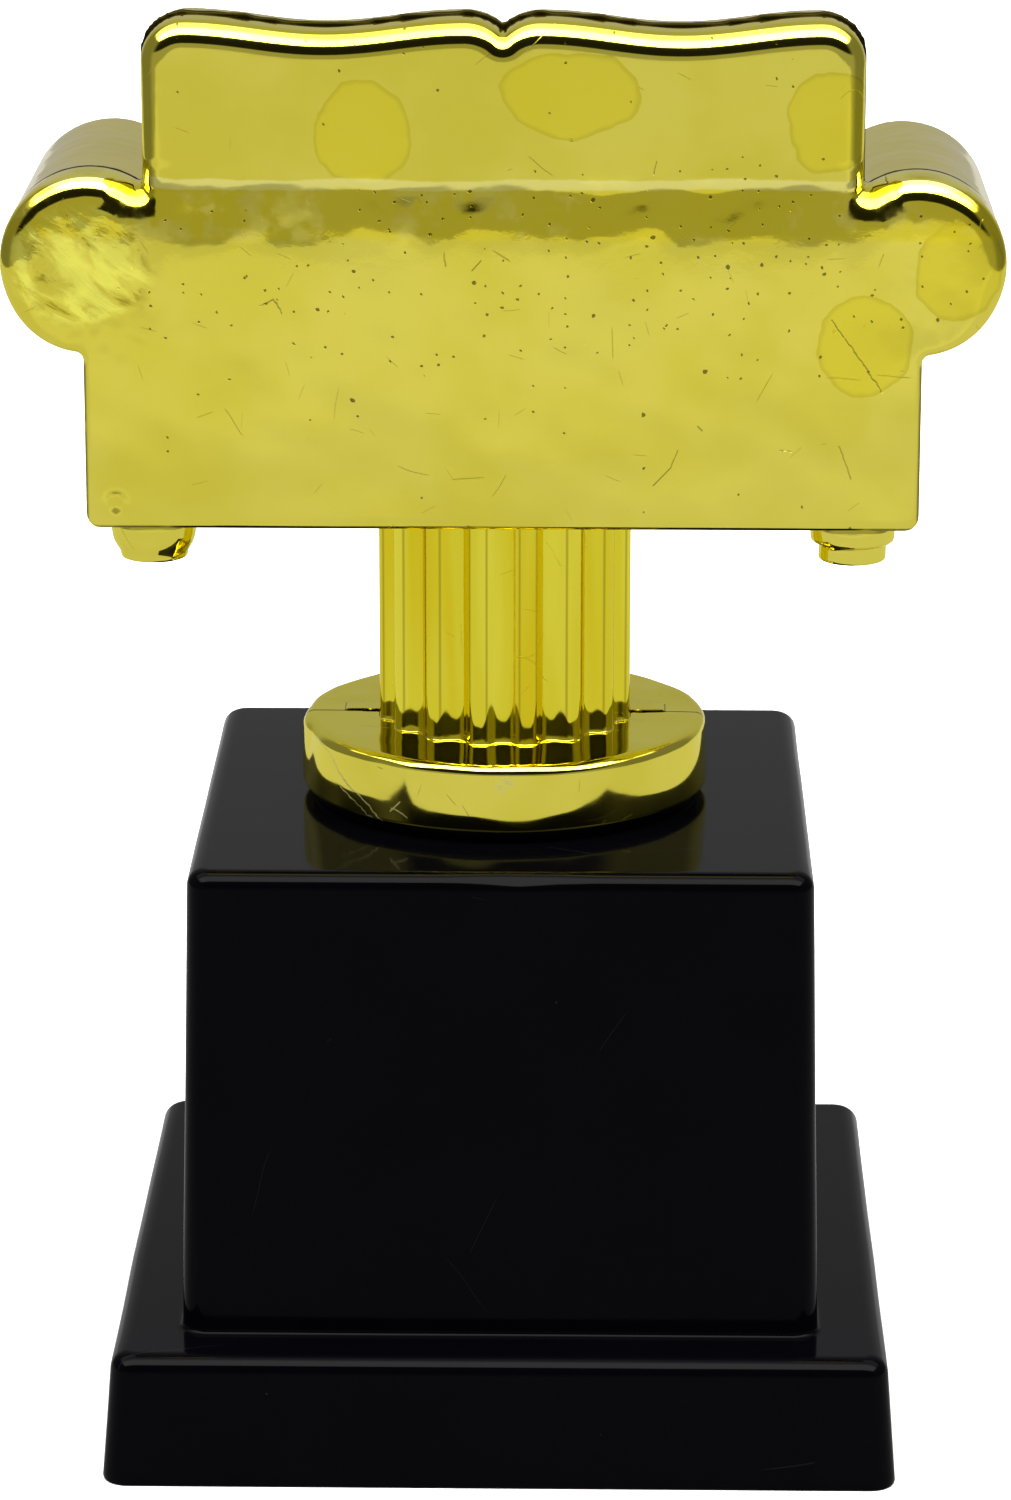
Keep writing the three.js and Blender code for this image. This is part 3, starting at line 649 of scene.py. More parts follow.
def sink_marks(points):
    """The slow hollows and swells of a thick moulding, outwards in mm."""
    points = points.copy()
    radius = np.linalg.norm(points[:, :2], axis=1)
    share = smooth(points[:, 2], 0, 2) * smooth(radius, 22, 26)
    swell = 0.025 * share * ripple(points, 26, 5)
    points[:, :2] *= (1 + swell / np.maximum(radius, 1e-6))[:, None]
    return points


def make_base():
    points, faces = stack(base_rings(), closed=True)
    points = sink_marks(points)
    # The gate's trimmed nick on the block's top back edge.
    away = (points - [1.6, -29.4, 58.4]) / [1.7, 0.7, 0.7]
    nick = np.exp(-(away**2).sum(1))
    points[:, 2] -= 0.22 * nick
    points[:, 1] += 0.16 * nick
    make_piece("base_shell", points, faces, BLACK, sharp=38)


def make_felt():
    width, thickness = PLINTH_WIDTH - 0.535 - 4.6, 1.4
    rings = []
    for inset, z in ((0.25, 0), (0.08, 0.12), (0, 0.4), (0, 1), (0.08, 1.28), (0.25, thickness)):
        rings.append(square_ring(width - 2 * inset, BASE_CORNER, z, 8, 60))
    for left in 1 - np.arange(1, 9) / 9:
        square = width * left - 0.5, 2.4 * left + 0.05
        rings.insert(0, square_ring(*square, 0.0, 8, 60))
        rings.append(square_ring(*square, thickness, 8, 60))
    points, faces = stack(rings)
    fuzz = ripple(points, 1.1, 11)
    edge = smooth(np.abs(points[:, :2]).max(1), width / 2 - 1.0, width / 2)
    points[:, :2] *= 1 - 0.0011 * (edge * (0.8 + 0.2 * fuzz))[:, None]
    points[:, 2] = np.clip(points[:, 2] + 0.03 * fuzz * (points[:, 2] < 0.5), 0.0, thickness)
    felt = make_piece("felt_pad", points, faces, FELT)


def make_plate():
    """The blank engraving plate: thin brushed metal with a rolled edge, leaning with the block."""
    low, high = node_box("name_plate")
    lean = math.atan((BLOCK_WIDTH - BLOCK_TOP_WIDTH) / 2 / (BASE_HEIGHT - PLINTH_HEIGHT))
    wide = high[0] - low[0]
    thickness = 0.6
    tall = ((high[2] - low[2]) - thickness * math.sin(lean)) / math.cos(lean)
    rings = []
    for inset, depth in ((0.12, 0), (0, 0.1), (0, 0.34), (0.07, 0.5), (0.22, 0.58), (0.4, 0.6)):
        rings.append(plate_ring(wide - 2 * inset, tall - 2 * inset, 1.2 - inset, depth))
    for inset in (0.7, 2.0, 5.0, 8.2):
        corner = max(0.8 - 0.1 * inset, 0.1)
        rings.append(plate_ring(wide - 2 * inset, tall - 2 * inset, corner, thickness))
    points, faces = stack(rings)
    local = np.column_stack([points[:, 0], points[:, 2] - thickness, points[:, 1]])
    points = local @ np.array(Matrix.Rotation(lean, 3, "X")).T
    points[:, 1] += high[1] - points[:, 1].max()
    points[:, 2] += (low[2] + high[2]) / 2 - (points[:, 2].max() + points[:, 2].min()) / 2
    make_piece("name_plate", points, faces, PLATE, sharp=50)


def plate_ring(wide, tall, radius, depth):
    square = square_ring(2.0, min(radius, 0.99), depth, 8, 10)
    reach = np.array([wide / 2 - 1, tall / 2 - 1])
    square[:, :2] += np.sign(square[:, :2]) * reach
    return square


# --- Riser ----------------------------------------------------------------------------------------


def flute_outline(points_per_pitch=28):
    """The column's outline: round grooves between narrow lands with soft edges, straightened along
    Y where a groove would hold the mould."""
    pitch = 2 * math.pi / FLUTES
    mouth = COLUMN_RADIUS * math.sin(FLUTE_HALF)
    reach = COLUMN_RADIUS * math.cos(FLUTE_HALF)
    radius = (mouth**2 + FLUTE_DEPTH**2) / (2 * FLUTE_DEPTH)
    centre = reach - FLUTE_DEPTH + radius
    angles = np.arange(FLUTES * points_per_pitch) / points_per_pitch * pitch
    local = (angles + pitch / 2) % pitch - pitch / 2
    direction = np.stack([np.sin(angles), -np.cos(angles)], 1)
    along = centre * np.sin(local)
    groove = centre * np.cos(local) - np.sqrt(np.maximum(radius**2 - along**2, 0))
    out = np.where(np.abs(local) < FLUTE_HALF, groove, COLUMN_RADIUS)
    kernel = np.hanning(11)
    kernel /= kernel.sum()
    out = np.convolve(np.concatenate([out[-5:], out, out[:5]]), kernel, "valid")
    return unhooked(direction * out[:, None])


def unhooked(ring):
    """A ring whose points are moved out in x so that no quarter's |x| falls towards the x axis."""
    ring = ring.copy()
    count = len(ring)
    for start, way in ((0, 1), (0, -1), (count // 2, -1), (count // 2, 1)):
        at = (start + way * np.arange(count // 4 + 1)) % count
        widest = np.maximum.accumulate(np.abs(ring[at, 0]))
        side = way if start == 0 else -way
        ring[at[1:], 0] = side * widest[1:]
    return ring


def riser_rings():
    """Down the column from the rod's hole, out over the disc, and up the inside."""
    outline = flute_outline()
    count = len(outline)

    def column(z, grow=0.0):
        return np.column_stack([outline * (1 + grow / COLUMN_RADIUS), np.full(count, z)])

    rings = [circle(ROD_HOLE, RISER_TOP, count)]
    rings += [column(RISER_TOP, -0.12), column(RISER_TOP - 0.12)]
    rings += [column(z) for z in (88.0, 84.0, 80.0, 76.0, 72.0, 69.0, 67.5)]
    root = 0.2
    for turn in quarter(4):
        rings.append(column(DISC_TOP + root * (1 - math.sin(turn)), root * (1 - math.cos(turn))))
    inner, target = rings[-1], circle(16.3, DISC_TOP, count)
    rings += [inner * (1 - share) + target * share for share in np.linspace(0, 1, 26)[1:]]

    flat_edge = DISC_TOP_RADIUS - DISC_TOP_FILLET
    circles = [(flat_edge - 1.5, DISC_TOP), (flat_edge - 0.3, DISC_TOP)]
    for turn in quarter(12)[::-1]:
        circles.append((flat_edge + DISC_TOP_FILLET * math.cos(turn),
                        DISC_TOP - DISC_TOP_FILLET * (1 - math.sin(turn))))
    circles.append((19.86, RISER_BOTTOM + 2.4))
    for turn in quarter(5)[::-1]:
        circles.append((DISC_RADIUS - DISC_BOTTOM_FILLET * (1 - math.sin(turn)),
                        RISER_BOTTOM + DISC_BOTTOM_FILLET * (1 - math.cos(turn))))
    under_disc, under_top = DISC_TOP - RISER_WALL, RISER_TOP - RISER_WALL
    circles += [(DISC_SOCKET, RISER_BOTTOM), (DISC_SOCKET, under_disc), (COLUMN_BORE, under_disc),
                (COLUMN_BORE, under_top), (ROD_HOLE, under_top)]
    return rings + [circle(radius, z, count) for radius, z in circles]


def riser_half(points, faces, side, node):
    """One moulded half: the riser cut a hair off its middle plane."""
    mesh = bpy.data.meshes.new("cutting")
    mesh.from_pydata(points.tolist(), [], faces)
    bm = bmesh.new()
    bm.from_mesh(mesh)
    bpy.data.meshes.remove(mesh)
    bmesh.ops.recalc_face_normals(bm, faces=bm.faces)
    geometry = bm.verts[:] + bm.edges[:] + bm.faces[:]
    cut = bmesh.ops.bisect_plane(
        bm, geom=geometry, dist=1e-5, plane_co=(0, side * RISER_SEAM, 0), plane_no=(0, side, 0),
        clear_inner=True)
    edges = [e for e in cut["geom_cut"] if isinstance(e, bmesh.types.BMEdge)]
    bmesh.ops.edgeloop_fill(bm, edges=edges)
    bm.verts.index_update()
    made = np.array([v.co for v in bm.verts])
    made_faces = [tuple(v.index for v in f.verts) for f in bm.faces]
    bm.free()
    make_piece(node, made, made_faces, GOLD_RISER, sharp=42)


def make_riser():
    points, faces = stack(riser_rings(), closed=True)
    radius = np.linalg.norm(points[:, :2], axis=1)
    # A little waviness in the disc's side, more on its -X side, and a slightly uneven top.
    side = smooth(radius, 17.0, 19.5) * smooth(points[:, 2], 60.2, 61.0)
    swell = (0.050 * ripple(points, 8, 21) + 0.009 * ripple(points, 3.0, 22)) * side
    swell *= 1 + 1.2 * smooth(-points[:, 0], 5, 16)
    points[:, :2] *= (1 + swell / np.maximum(radius, 1))[:, None]
    top = smooth(points[:, 2], 65.9, 66.5) * smooth(radius, 13.2, 14.5)
    points[:, 2] += 0.02 * ripple(points, 6, 23) * top
    # A low pad beside the column on each side, just in front of the seam.
    wide = np.abs(np.abs(points[:, 0]) - 13.9) - 1.8
    deep = np.abs(points[:, 1] - 1.45) - 1.45
    pad = smooth(np.maximum(wide, deep), 0.12, -0.08) * (points[:, 1] > 0.02)
    pad *= np.abs(points[:, 2] - DISC_TOP) < 0.1
    points[:, 2] += 0.17 * pad
    riser_half(points, faces, -1, "riser_back_half")
    riser_half(points, faces, 1, "riser_front_half")


def make_gasket():
    side = [(0.12, 0.0), (0.03, 0.04), (0.0, 0.15), (0.0, 0.85), (0.03, 0.96), (0.12, 1.0)]
    rings = [circle(GASKET_RADIUS - inset, GASKET_BOTTOM + z, 128) for inset, z in side]
    rings += [circle(ROD_HOLE + inset, GASKET_BOTTOM + z, 128) for inset, z in side[::-1]]
    points, faces = stack(rings, closed=True)
    make_piece("disc_gasket", points, faces, RUBBER, sharp=40)


# --- Sofa back shell ------------------------------------------------------------------------------


def arc(x, h, radius, start, end, hollow=False, spacing=0.42):
    """Points and outward normals along an arc, angles in degrees."""
    sweep = math.radians(abs(end - start))
    reach = radius + RIM if hollow else radius
    count = max(3, math.ceil(sweep * reach / spacing))
    angles = np.radians(np.linspace(start, end, count + 1))
    outward = np.stack([np.cos(angles), np.sin(angles)], 1)
    return np.array([x, h]) + radius * outward, -outward if hollow else outward


def line(start, end, spacing=0.42):
    """Points between two ends, which are left out, and the normals on the right of the way."""
    start, end = np.array(start, float), np.array(end, float)
    length = np.linalg.norm(end - start)
    count = max(2, round(length / spacing))
    shares = np.linspace(0, 1, count + 1)[1:-1, None]
    along = (end - start) / length
    normals = np.tile([along[1], -along[0]], (len(shares), 1))
    return start + (end - start) * shares, normals


def top_wave():
    """The sagging top edge between the corner and the middle lobe."""
    start = BACKREST_HALF - BACKREST_CORNER
    x = np.linspace(start, LOBE_X, 66)[1:-1]
    rate = 2 * math.pi / (start - LOBE_X)
    h = LOBE - SAG * (0.5 - 0.5 * np.cos(rate * (x - LOBE_X)))
    slope = -SAG * 0.5 * np.sin(rate * (x - LOBE_X)) * rate
    normals = np.stack([-slope, np.ones_like(slope)], 1)
    return np.stack([x, h], 1), normals / np.linalg.norm(normals, axis=1)[:, None]


def half_outline():
    """Right half of the back's outline with outward normals, from bottom centre to top centre."""
    # A hollow joins the arm to the body below it, another to the backrest, and a notch the lobes.
    dip, neck, neck_h, neck_turn = 0.8, 0.6, 32.565, 120.4
    notch, notch_drop, notch_turn = 0.35, 0.932, 130.2
    dip_x = BODY_HALF + dip
    dip_h = ARM_H - math.sqrt((ARM_RADIUS + dip) ** 2 - (dip_x - ARM_X) ** 2)
    dip_turn = math.degrees(math.atan2(dip_h - ARM_H, dip_x - ARM_X))
    parts = [
        (np.array([[0.0, 0.0]]), np.array([[0.0, -1.0]])),
        line((0, 0), (BODY_HALF - BODY_CORNER, 0)),
        arc(BODY_HALF - BODY_CORNER, BODY_CORNER, BODY_CORNER, -90, 0),
        line((BODY_HALF, BODY_CORNER), (BODY_HALF, dip_h)),
        arc(dip_x, dip_h, dip, 180, 180 + dip_turn, hollow=True),
        arc(ARM_X, ARM_H, ARM_RADIUS, dip_turn, neck_turn),
        arc(BACKREST_HALF + neck, neck_h, neck, 180 + neck_turn, 180, hollow=True),
        line((BACKREST_HALF, neck_h), (BACKREST_HALF, LOBE - BACKREST_CORNER)),
        arc(BACKREST_HALF - BACKREST_CORNER, LOBE - BACKREST_CORNER, BACKREST_CORNER, 0, 90),
        top_wave(),
        arc(LOBE_X, LOBE - LOBE_RADIUS, LOBE_RADIUS, 90, notch_turn),
        arc(0, LOBE - notch_drop, notch, 180 + notch_turn, 270, hollow=True),
    ]
    points = np.concatenate([p for p, _ in parts])
    normals = np.concatenate([n for _, n in parts])
    keep = np.ones(len(points), bool)
    keep[1:] = np.linalg.norm(np.diff(points, axis=0), axis=1) > 0.02
    return points[keep], normals[keep]


def whole_outline():
    points, normals = half_outline()
    flip = np.array([-1, 1])
    return (np.concatenate([points, points[-2:0:-1] * flip]),
            np.concatenate([normals, normals[-2:0:-1] * flip]))


def rim_at(h):
    """Radius of the back's rounded rim: full at the arms and top, small at the body's foot."""
    return THIN_RIM + (RIM - THIN_RIM) * smooth(h, 16, 23)


def leaning(run, ramp, slope):
    """How far a face has fallen back after a run, if it bends over to a slope within a ramp."""
    run = np.maximum(run, 0)
    return slope * np.where(run < ramp, run**2 / (2 * ramp), run - ramp / 2)


def hook_at(x):
    """1 where an arm's rolled top runs into the backrest, fading out along the arm."""
    return smooth(np.abs(x), 31.4, 32.4) * smooth(-np.abs(x), -41.5, -36.0)


def back_depth(x, h):
    """How far behind the sofa's middle the back panel's face is. The body leans in towards the fold
    and meets the backrest there; the arms' faces lean in towards their rims."""
    crest = FOLD - 1.0
    spot = np.stack([x, h], 1)
    wander = 0.45 * ripple(spot * (1, 0.12), 9, 39) + 0.12 * ripple(spot * (1, 0.2), 3, 40)
    wander *= 1 - smooth(h, 28.5, 32)
    body = BODY_DEPTH - leaning(np.minimum(h, crest) - LEAN_H + wander, 3.0, LEAN_SLOPE)
    body += (BACKREST_DEPTH - body) * smooth(h, crest, crest + 1.0)
    from_arm = np.hypot(np.abs(x) - ARM_X, h - ARM_H)
    up = smooth(h - ARM_H, -2, 4)
    arm = BODY_DEPTH - up * leaning(from_arm - 3.2, 3, 0.10)
    outer = smooth(np.abs(x), 34.8, 36.8)
    run = (h - 29.1) * (1 - outer) + (from_arm - 5.3) * outer + 0.08 * ripple(spot, 1.7, 38)
    arm -= (h > ARM_H) * hook_at(x) * leaning(run, 0.4, HOOK_SLOPE)
    share = smooth(np.abs(x), 30.8, 34.2) * (h < FOLD + 1.5)
    return body + (arm - body) * share


def back_swell(x, h):
    """Unevenness of the back panel, in mm towards the back."""
    spot = np.stack([x, h], 1)
    body = smooth(h, FOLD + 0.5, FOLD - 2)
    swell = 0.035 * ripple(spot, 19, 31) * (0.35 + 0.65 * body)
    swell += 0.004 * ripple(spot, 5.5, 32) * (0.3 + 0.7 * body)
    rough = 0.027 * ripple(spot, 8.5, 33) + 0.007 * ripple(spot, 3.4, 34)
    rough += 0.003 * ripple(spot, 1.4, 37)
    swell += rough * smooth(h, 25, 29) * body * smooth(-np.abs(x), -35, -31)
    film = 0.013 * ripple(spot, 4.6, 35) + 0.006 * ripple(spot, 2.0, 36)
    swell += film * (smooth(-x, 31, 36) + 0.4 * smooth(x, 33, 38)) * smooth(h, 15, 18)
    # The ejector pin's ring on the body's lower left corner.
    ring = np.hypot(x + 36.6, h - 1.9)
    swell += 0.10 * np.exp(-(((ring - 0.75) / 0.3) ** 2)) - 0.12 * np.exp(-((ring / 0.45) ** 2))
    return swell


def inside_loop(points, loop):
    """Which points lie inside a closed loop."""
    inside = np.zeros(len(points), bool)
    x, y = points[:, 0], points[:, 1]
    for (x0, y0), (x1, y1) in zip(loop, np.roll(loop, -1, axis=0)):
        if y0 == y1:
            continue
        crosses = (y0 > y) != (y1 > y)
        inside ^= crosses & (x < (x1 - x0) * (y - y0) / (y1 - y0) + x0)
    return inside


def clear_of(points, loop, distance):
    """Which points are further than a distance from a loop's points."""
    clear = np.ones(len(points), bool)
    for corner in loop:
        clear &= ((points - corner) ** 2).sum(1) > distance**2
    return clear


def back_sides(outline, normals, inner):
    """Rings from the parting line to the panel's flat, over the rounded rim."""
    def ring(spot, depth):
        return np.column_stack([spot[:, 0], -depth + np.zeros(len(spot)), spot[:, 1]])

    lip = ((0.16, 0.0), (0.04, 0.05), (0.0, 0.18), (0.0, 1.2))
    rings = [ring(outline - normals * inset, PARTING + depth) for inset, depth in lip]
    rim = rim_at(outline[:, 1])
    steep = HOOK_SLOPE * hook_at(outline[:, 0]) * smooth(normals[:, 1], 0.1, 0.6)
    steep *= (outline[:, 1] > ARM_H) & (outline[:, 1] < FOLD)
    for angle in quarter(14):
        spot = outline - normals * (rim * (1 - math.cos(angle)))[:, None]
        swell = back_swell(*spot.T) * math.sin(angle) ** 2
        depth = back_depth(*inner.T) - rim * (1 - math.sin(angle)) + swell
        rings.append(ring(spot, depth - steep * rim * math.cos(angle)))
    return rings


def panel_grid(inner, spacing=0.42):
    """Points in rows inside the panel's inner loop, clear of it."""
    x, h = np.meshgrid(np.arange(-48, 48, spacing), np.arange(0, 48.5, spacing * 0.9))
    x[1::2] += spacing / 2
    grid = np.stack([x.ravel(), h.ravel()], 1)
    grid = grid[inside_loop(grid, inner)]
    return grid[clear_of(grid, inner, 0.3)]


def make_back_shell():
    outline, normals = whole_outline()
    count = len(outline)
    inner = outline - normals * rim_at(outline[:, 1])[:, None]
    points, faces = stack(back_sides(outline, normals, inner), cap_end=False)
    last = len(points) - count

    coords = [Vector(p) for p in np.concatenate([inner, panel_grid(inner)])]
    made, _, triangles, origin, _, _ = delaunay_2d_cdt(coords, [], [list(range(count))], 1, 1e-6)
    where, extra = [], []
    for i, vertex in enumerate(made):
        source = origin[i][0] if origin[i] else -1
        if 0 <= source < count:
            where.append(last + source)
        else:
            where.append(len(points) + len(extra))
            extra.append((vertex.x, vertex.y))
    x, h = np.array(extra).T
    depth = back_depth(x, h) + back_swell(x, h)
    points = np.concatenate([points, np.column_stack([x, -depth, h])])
    faces += [tuple(where[i] for i in triangle) for triangle in triangles]
    # The body's lower back edge hangs a little, so it hides the column's top.
    points[:, 2] -= SKIRT * smooth(-points[:, 1], 12.8, 14.2) * smooth(points[:, 2], 3.0, 0.0)
    points[:, 2] += FIGURE_BOTTOM
    make_piece("sofa_back_shell", points, faces, GOLD_PANEL, sharp=50)


# --- Sofa front shell -----------------------------------------------------------------------------
# The seat side is a distance field: negative inside. Its surface is then found on a grid.


def rounded(a, b, radius):
    """The overlap of two bodies, with the edge between them rounded."""
    wide, high = a + radius, b + radius
    outside = np.hypot(np.maximum(wide, 0), np.maximum(high, 0))
    return np.minimum(np.maximum(wide, high), 0) + outside - radius


def joined(a, b, soft):
    """Two bodies together, with a soft crease of that size."""
    share = np.clip(0.5 + 0.5 * (b - a) / soft, 0, 1)
    return b + (a - b) * share - soft * share * (1 - share)


def outline_top():
    """The backrest's top edge between its corners: x, height and slope."""
    points, normals = half_outline()
    top = (points[:, 1] > 46) & (points[:, 0] <= BACKREST_HALF - BACKREST_CORNER + 1e-6)
    points, normals = points[top], normals[top]
    order = np.argsort(points[:, 0])
    return points[order, 0], points[order, 1], (-normals[:, 0] / normals[:, 1])[order]


TOP_X, TOP_H, TOP_SLOPE = outline_top()


def backrest_edge(x, h):
    top = np.interp(x, TOP_X, TOP_H)
    slope = np.interp(x, TOP_X, TOP_SLOPE, right=0.0)
    return rounded(x - BACKREST_HALF, (h - top) / np.hypot(1, slope), BACKREST_CORNER)


def arm_edge(x, h):
    roll = np.hypot(x - ARM_X, h - ARM_H) - ARM_RADIUS
    middle, half = (BODY_HALF + ARM_INNER) / 2, (BODY_HALF - ARM_INNER) / 2
    post = rounded(np.abs(x - middle) - half, np.abs(h - ARM_H / 2) - ARM_H / 2, 0.9)
    return joined(roll, post, 1.1)


def welt(edge, body, size):
    """A body with a raised piped line along its own edge at a place where edge is 0."""
    return body - size * np.exp(-((edge / 0.42) ** 2))


def sofa_distance(x, y, h):
    """Signed distance to the seat side of the sofa. It is the same on both sides of x = 0."""
    x = np.abs(x)
    arm = arm_edge(x, h)
    arms = rounded(arm, y - ARM_FRONT, 1.5)
    sunk = rounded(arm + 2.0, ARM_FRONT - 0.75 - y, 0.35)
    arms = -joined(-arms, sunk, 0.35)
    button = np.hypot(np.hypot(x - ARM_X, h - ARM_H), (y - ARM_FRONT + 1.1) * 1.6) - 1.9
    arms = joined(arms, button, 0.3)
    ridge = 0.40 + 0.05 * np.sin(0.83 * x) + 0.03 * np.sin(2.1 * x + 1)
    ridge = ridge * (1 - smooth(y, -11.8, -10.9))
    backrest = rounded(backrest_edge(x, h) - ridge, y + BACKREST_FRONT, 1.5)
    backrest = np.maximum(backrest, 15 - h)
    apron = rounded(x - ARM_INNER - 0.6, rounded(h - DECK, y - APRON_FRONT, 0.7), 0.7)

    along = (x - CUSHION_X) / 15.4
    crown = np.clip(1 - along**2, 0, 1)
    lift = 0.9 * crown * np.clip(1 - ((y - 4.0) / 11.2) ** 2, 0, 1)
    push = 0.6 * crown * np.clip(1 - ((h - 13.0) / 3.6) ** 2, 0, 1)
    seat = rounded(h - (CUSHION_TOP - 0.9 + lift), y - (CUSHION_FRONT - 0.6 + push), 1.5)
    seat = rounded(seat, np.abs(x - CUSHION_X) - CUSHION_HALF, 1.5)
    seat = welt(h - 13.2, seat, 0.28)
    seat = np.maximum(seat, 8 - h)

    puff = 1.3 * crown * np.clip(1 - ((h - 30.5) / 13.9) ** 2, 0, 1)
    lobes = BACK_CUSHION_TOP - 0.8 + 0.8 * crown
    cushion = rounded(y + (BACK_CUSHION_FRONT + 1.3) - puff, h - lobes, 1.7)
    cushion = rounded(cushion, np.abs(x - CUSHION_X) - CUSHION_HALF, 1.7)
    cushion = welt(y + 5.0, cushion, 0.28)
    cushion = np.maximum(cushion, 14 - h)

    core = rounded(x - ARM_INNER - 1, y + BACKREST_FRONT, 0.6)
    core = rounded(core, h - FOLD + 3, 0.6)
    body = joined(arms, backrest, 0.5)
    body = np.minimum(body, core)
    body = joined(body, apron, 0.35)
    body = joined(body, seat, 0.25)
    body = joined(body, cushion, 0.25)
    body = rounded(body, -h, 0.5)
    return rounded(body + 0.05, -(y + PARTING - 0.14), 0.16)


def surface_net(values, origin, spacing):
    """Points and quads of the surface where gridded values pass through 0."""
    inside = values < 0
    shape = np.array(values.shape) - 1
    total = np.zeros((*shape, 3), np.float32)
    hits = np.zeros(shape, np.float32)
    crossings = []
    for axis in range(3):
        behind, ahead = [slice(None)] * 3, [slice(None)] * 3
        behind[axis], ahead[axis] = slice(None, -1), slice(1, None)
        behind, ahead = tuple(behind), tuple(ahead)
        crossing = inside[behind] != inside[ahead]
        crossings.append(crossing)
        rise = np.where(crossing, values[behind] - values[ahead], 1)
        share = np.where(crossing, values[behind] / rise, 0)
        others = [i for i in range(3) if i != axis]
        for shifts in ((0, 0), (0, 1), (1, 0), (1, 1)):
            window = [slice(None)] * 3
            for which, shift in zip(others, shifts):
                window[which] = slice(shift, shape[which] + shift)
            window = tuple(window)
            hits += crossing[window]
            total[..., axis] += share[window]
            total[..., others] += crossing[window][..., None] * np.array(shifts)
    active = hits > 0
    number = np.full(shape, -1, np.int64)
    number[active] = np.arange(active.sum())
    points = origin + spacing * (np.argwhere(active) + total[active] / hits[active][:, None])
    quads = []
    for axis, crossing in enumerate(crossings):
        u, v = (axis + 1) % 3, (axis + 2) % 3
        at = np.argwhere(crossing)
        keep = (at[:, u] > 0) & (at[:, v] > 0) & (at[:, u] < shape[u]) & (at[:, v] < shape[v])
        at = at[keep]
        corners = []
        for du, dv in ((-1, -1), (0, -1), (0, 0), (-1, 0)):
            cell = at.copy()
            cell[:, u] += du
            cell[:, v] += dv
            corners.append(number[tuple(cell.T)])
        quad = np.stack(corners, 1)
        flip = ~inside[tuple(at.T)]
        quad[flip] = quad[flip][:, ::-1]
        quads.append(quad)
    return points, np.concatenate(quads)


def pulled_onto(distance, points):
    """Points moved along the field's slope until they lie on its surface."""
    step = 0.02
    for _ in range(3):
        value = distance(*points.T)
        slope = np.stack([
            distance(*(points + offset).T) - distance(*(points - offset).T)
            for offset in np.eye(3) * step], 1) / (2 * step)
        size = np.maximum((slope**2).sum(1), 0.25)
        move = -(value / size)[:, None] * slope
        points = points + np.clip(move, -0.15, 0.15)
    return points


def make_front_shell():
    spacing = 0.42
    low = np.array([-48.2, -12.6, -0.7]) + 0.013
    high = np.array([48.2, 16.9, 49.0])
    grid = np.meshgrid(*(np.arange(a, b, spacing) for a, b in zip(low, high)), indexing="ij")
    points, quads = surface_net(sofa_distance(*grid), low, spacing)
    points = pulled_onto(sofa_distance, points)
    swell = 0.015 * ripple(points, 7, 41) + 0.006 * ripple(points, 2.6, 42)
    points[:, 2] += swell * smooth(points[:, 1], -11.5, -10) * (points[:, 2] > 1)
    points[:, 2] += FIGURE_BOTTOM
    make_piece("sofa_front_shell", points, quads.tolist(), GOLD_SEAT)


# --- Sofa feet ------------------------------------------------------------------------------------


def foot_profile(stepped):
    """Radius and height below the sofa, from the top down to the tip's middle."""
    root, tip = FOOT_RADIUS, FOOT_TIP
    profile = [(root - 0.1, -0.05), (root, -0.25)]
    if stepped:
        profile += [(root, -2.0), (root - 0.08, -2.3), (root - 0.3, -2.5)]
        profile += [(tip + 0.12, -2.6), (tip + 0.02, -2.7), (tip, -2.95)]
    else:
        profile += [(root, -1.3), (root - 0.03, -1.9), (root - 0.16, -2.5)]
        profile += [(root - 0.38, -3.0), (root - 0.62, -3.4), (tip + 0.02, -3.75)]
    for angle in quarter(6):
        profile.append((tip - 0.35 * (1 - math.cos(angle)),
                        -FOOT_HEIGHT + 0.35 * (1 - math.sin(angle))))
    return profile + [(tip - 0.8, -FOOT_HEIGHT), (1.2, -FOOT_HEIGHT + 0.02)]


def make_foot(node, stepped, seed):
    low, high = node_box(node)
    points, faces = stack([circle(radius, z, 72) for radius, z in foot_profile(stepped)])
    wobble = 1 + 0.008 * ripple(points, 3.0, seed) * smooth(-points[:, 2], 0.2, 1.0)
    points[:, :2] *= np.minimum(wobble, 1.002)[:, None]
    points += [*(low + high)[:2] / 2, FIGURE_BOTTOM]
    make_piece(node, points, faces, GOLD, sharp=60)


# --- Stage ----------------------------------------------------------------------------------------


def make_floor():
    """A floor that is white to the camera and greyer in reflections, where a painted band of light
    lies just in front of the camera, darker nearer the object and behind the camera.
    """
    mesh = bpy.data.meshes.new("floor")
    corners = [(-0.6, -1.4, 0), (0.6, -1.4, 0), (0.6, 1.6, 0), (-0.6, 1.6, 0)]
    mesh.from_pydata(corners, [], [(0, 1, 2, 3)])
    floor = bpy.data.objects.new("floor", mesh)
    scene.collection.objects.link(floor)
    material = bpy.data.materials.new("white_sweep")
    graph = Graph(material)
    away = graph.split(graph.coordinates())[1]
    # Painted light: a brighter band across the floor's reflected colour, just in front of the
    # camera.
    dim = graph.step(away, -0.38, -0.50, 0.88, 1.0) * graph.step(away, -0.54, -0.68, 1.0, 0.86)
    grey = graph.mix(dim, (0, 0, 0), (0.290, 0.290, 0.290))
    shader = graph.node("ShaderNodeBsdfPrincipled", {
        "Base Color": graph.mix(graph.camera_ray(), grey, (0.9, 0.9, 0.9)), "Roughness": 0.9,
        "Specular IOR Level": 0.0})
    graph.finish("Material", shader)
    mesh.materials.append(material)


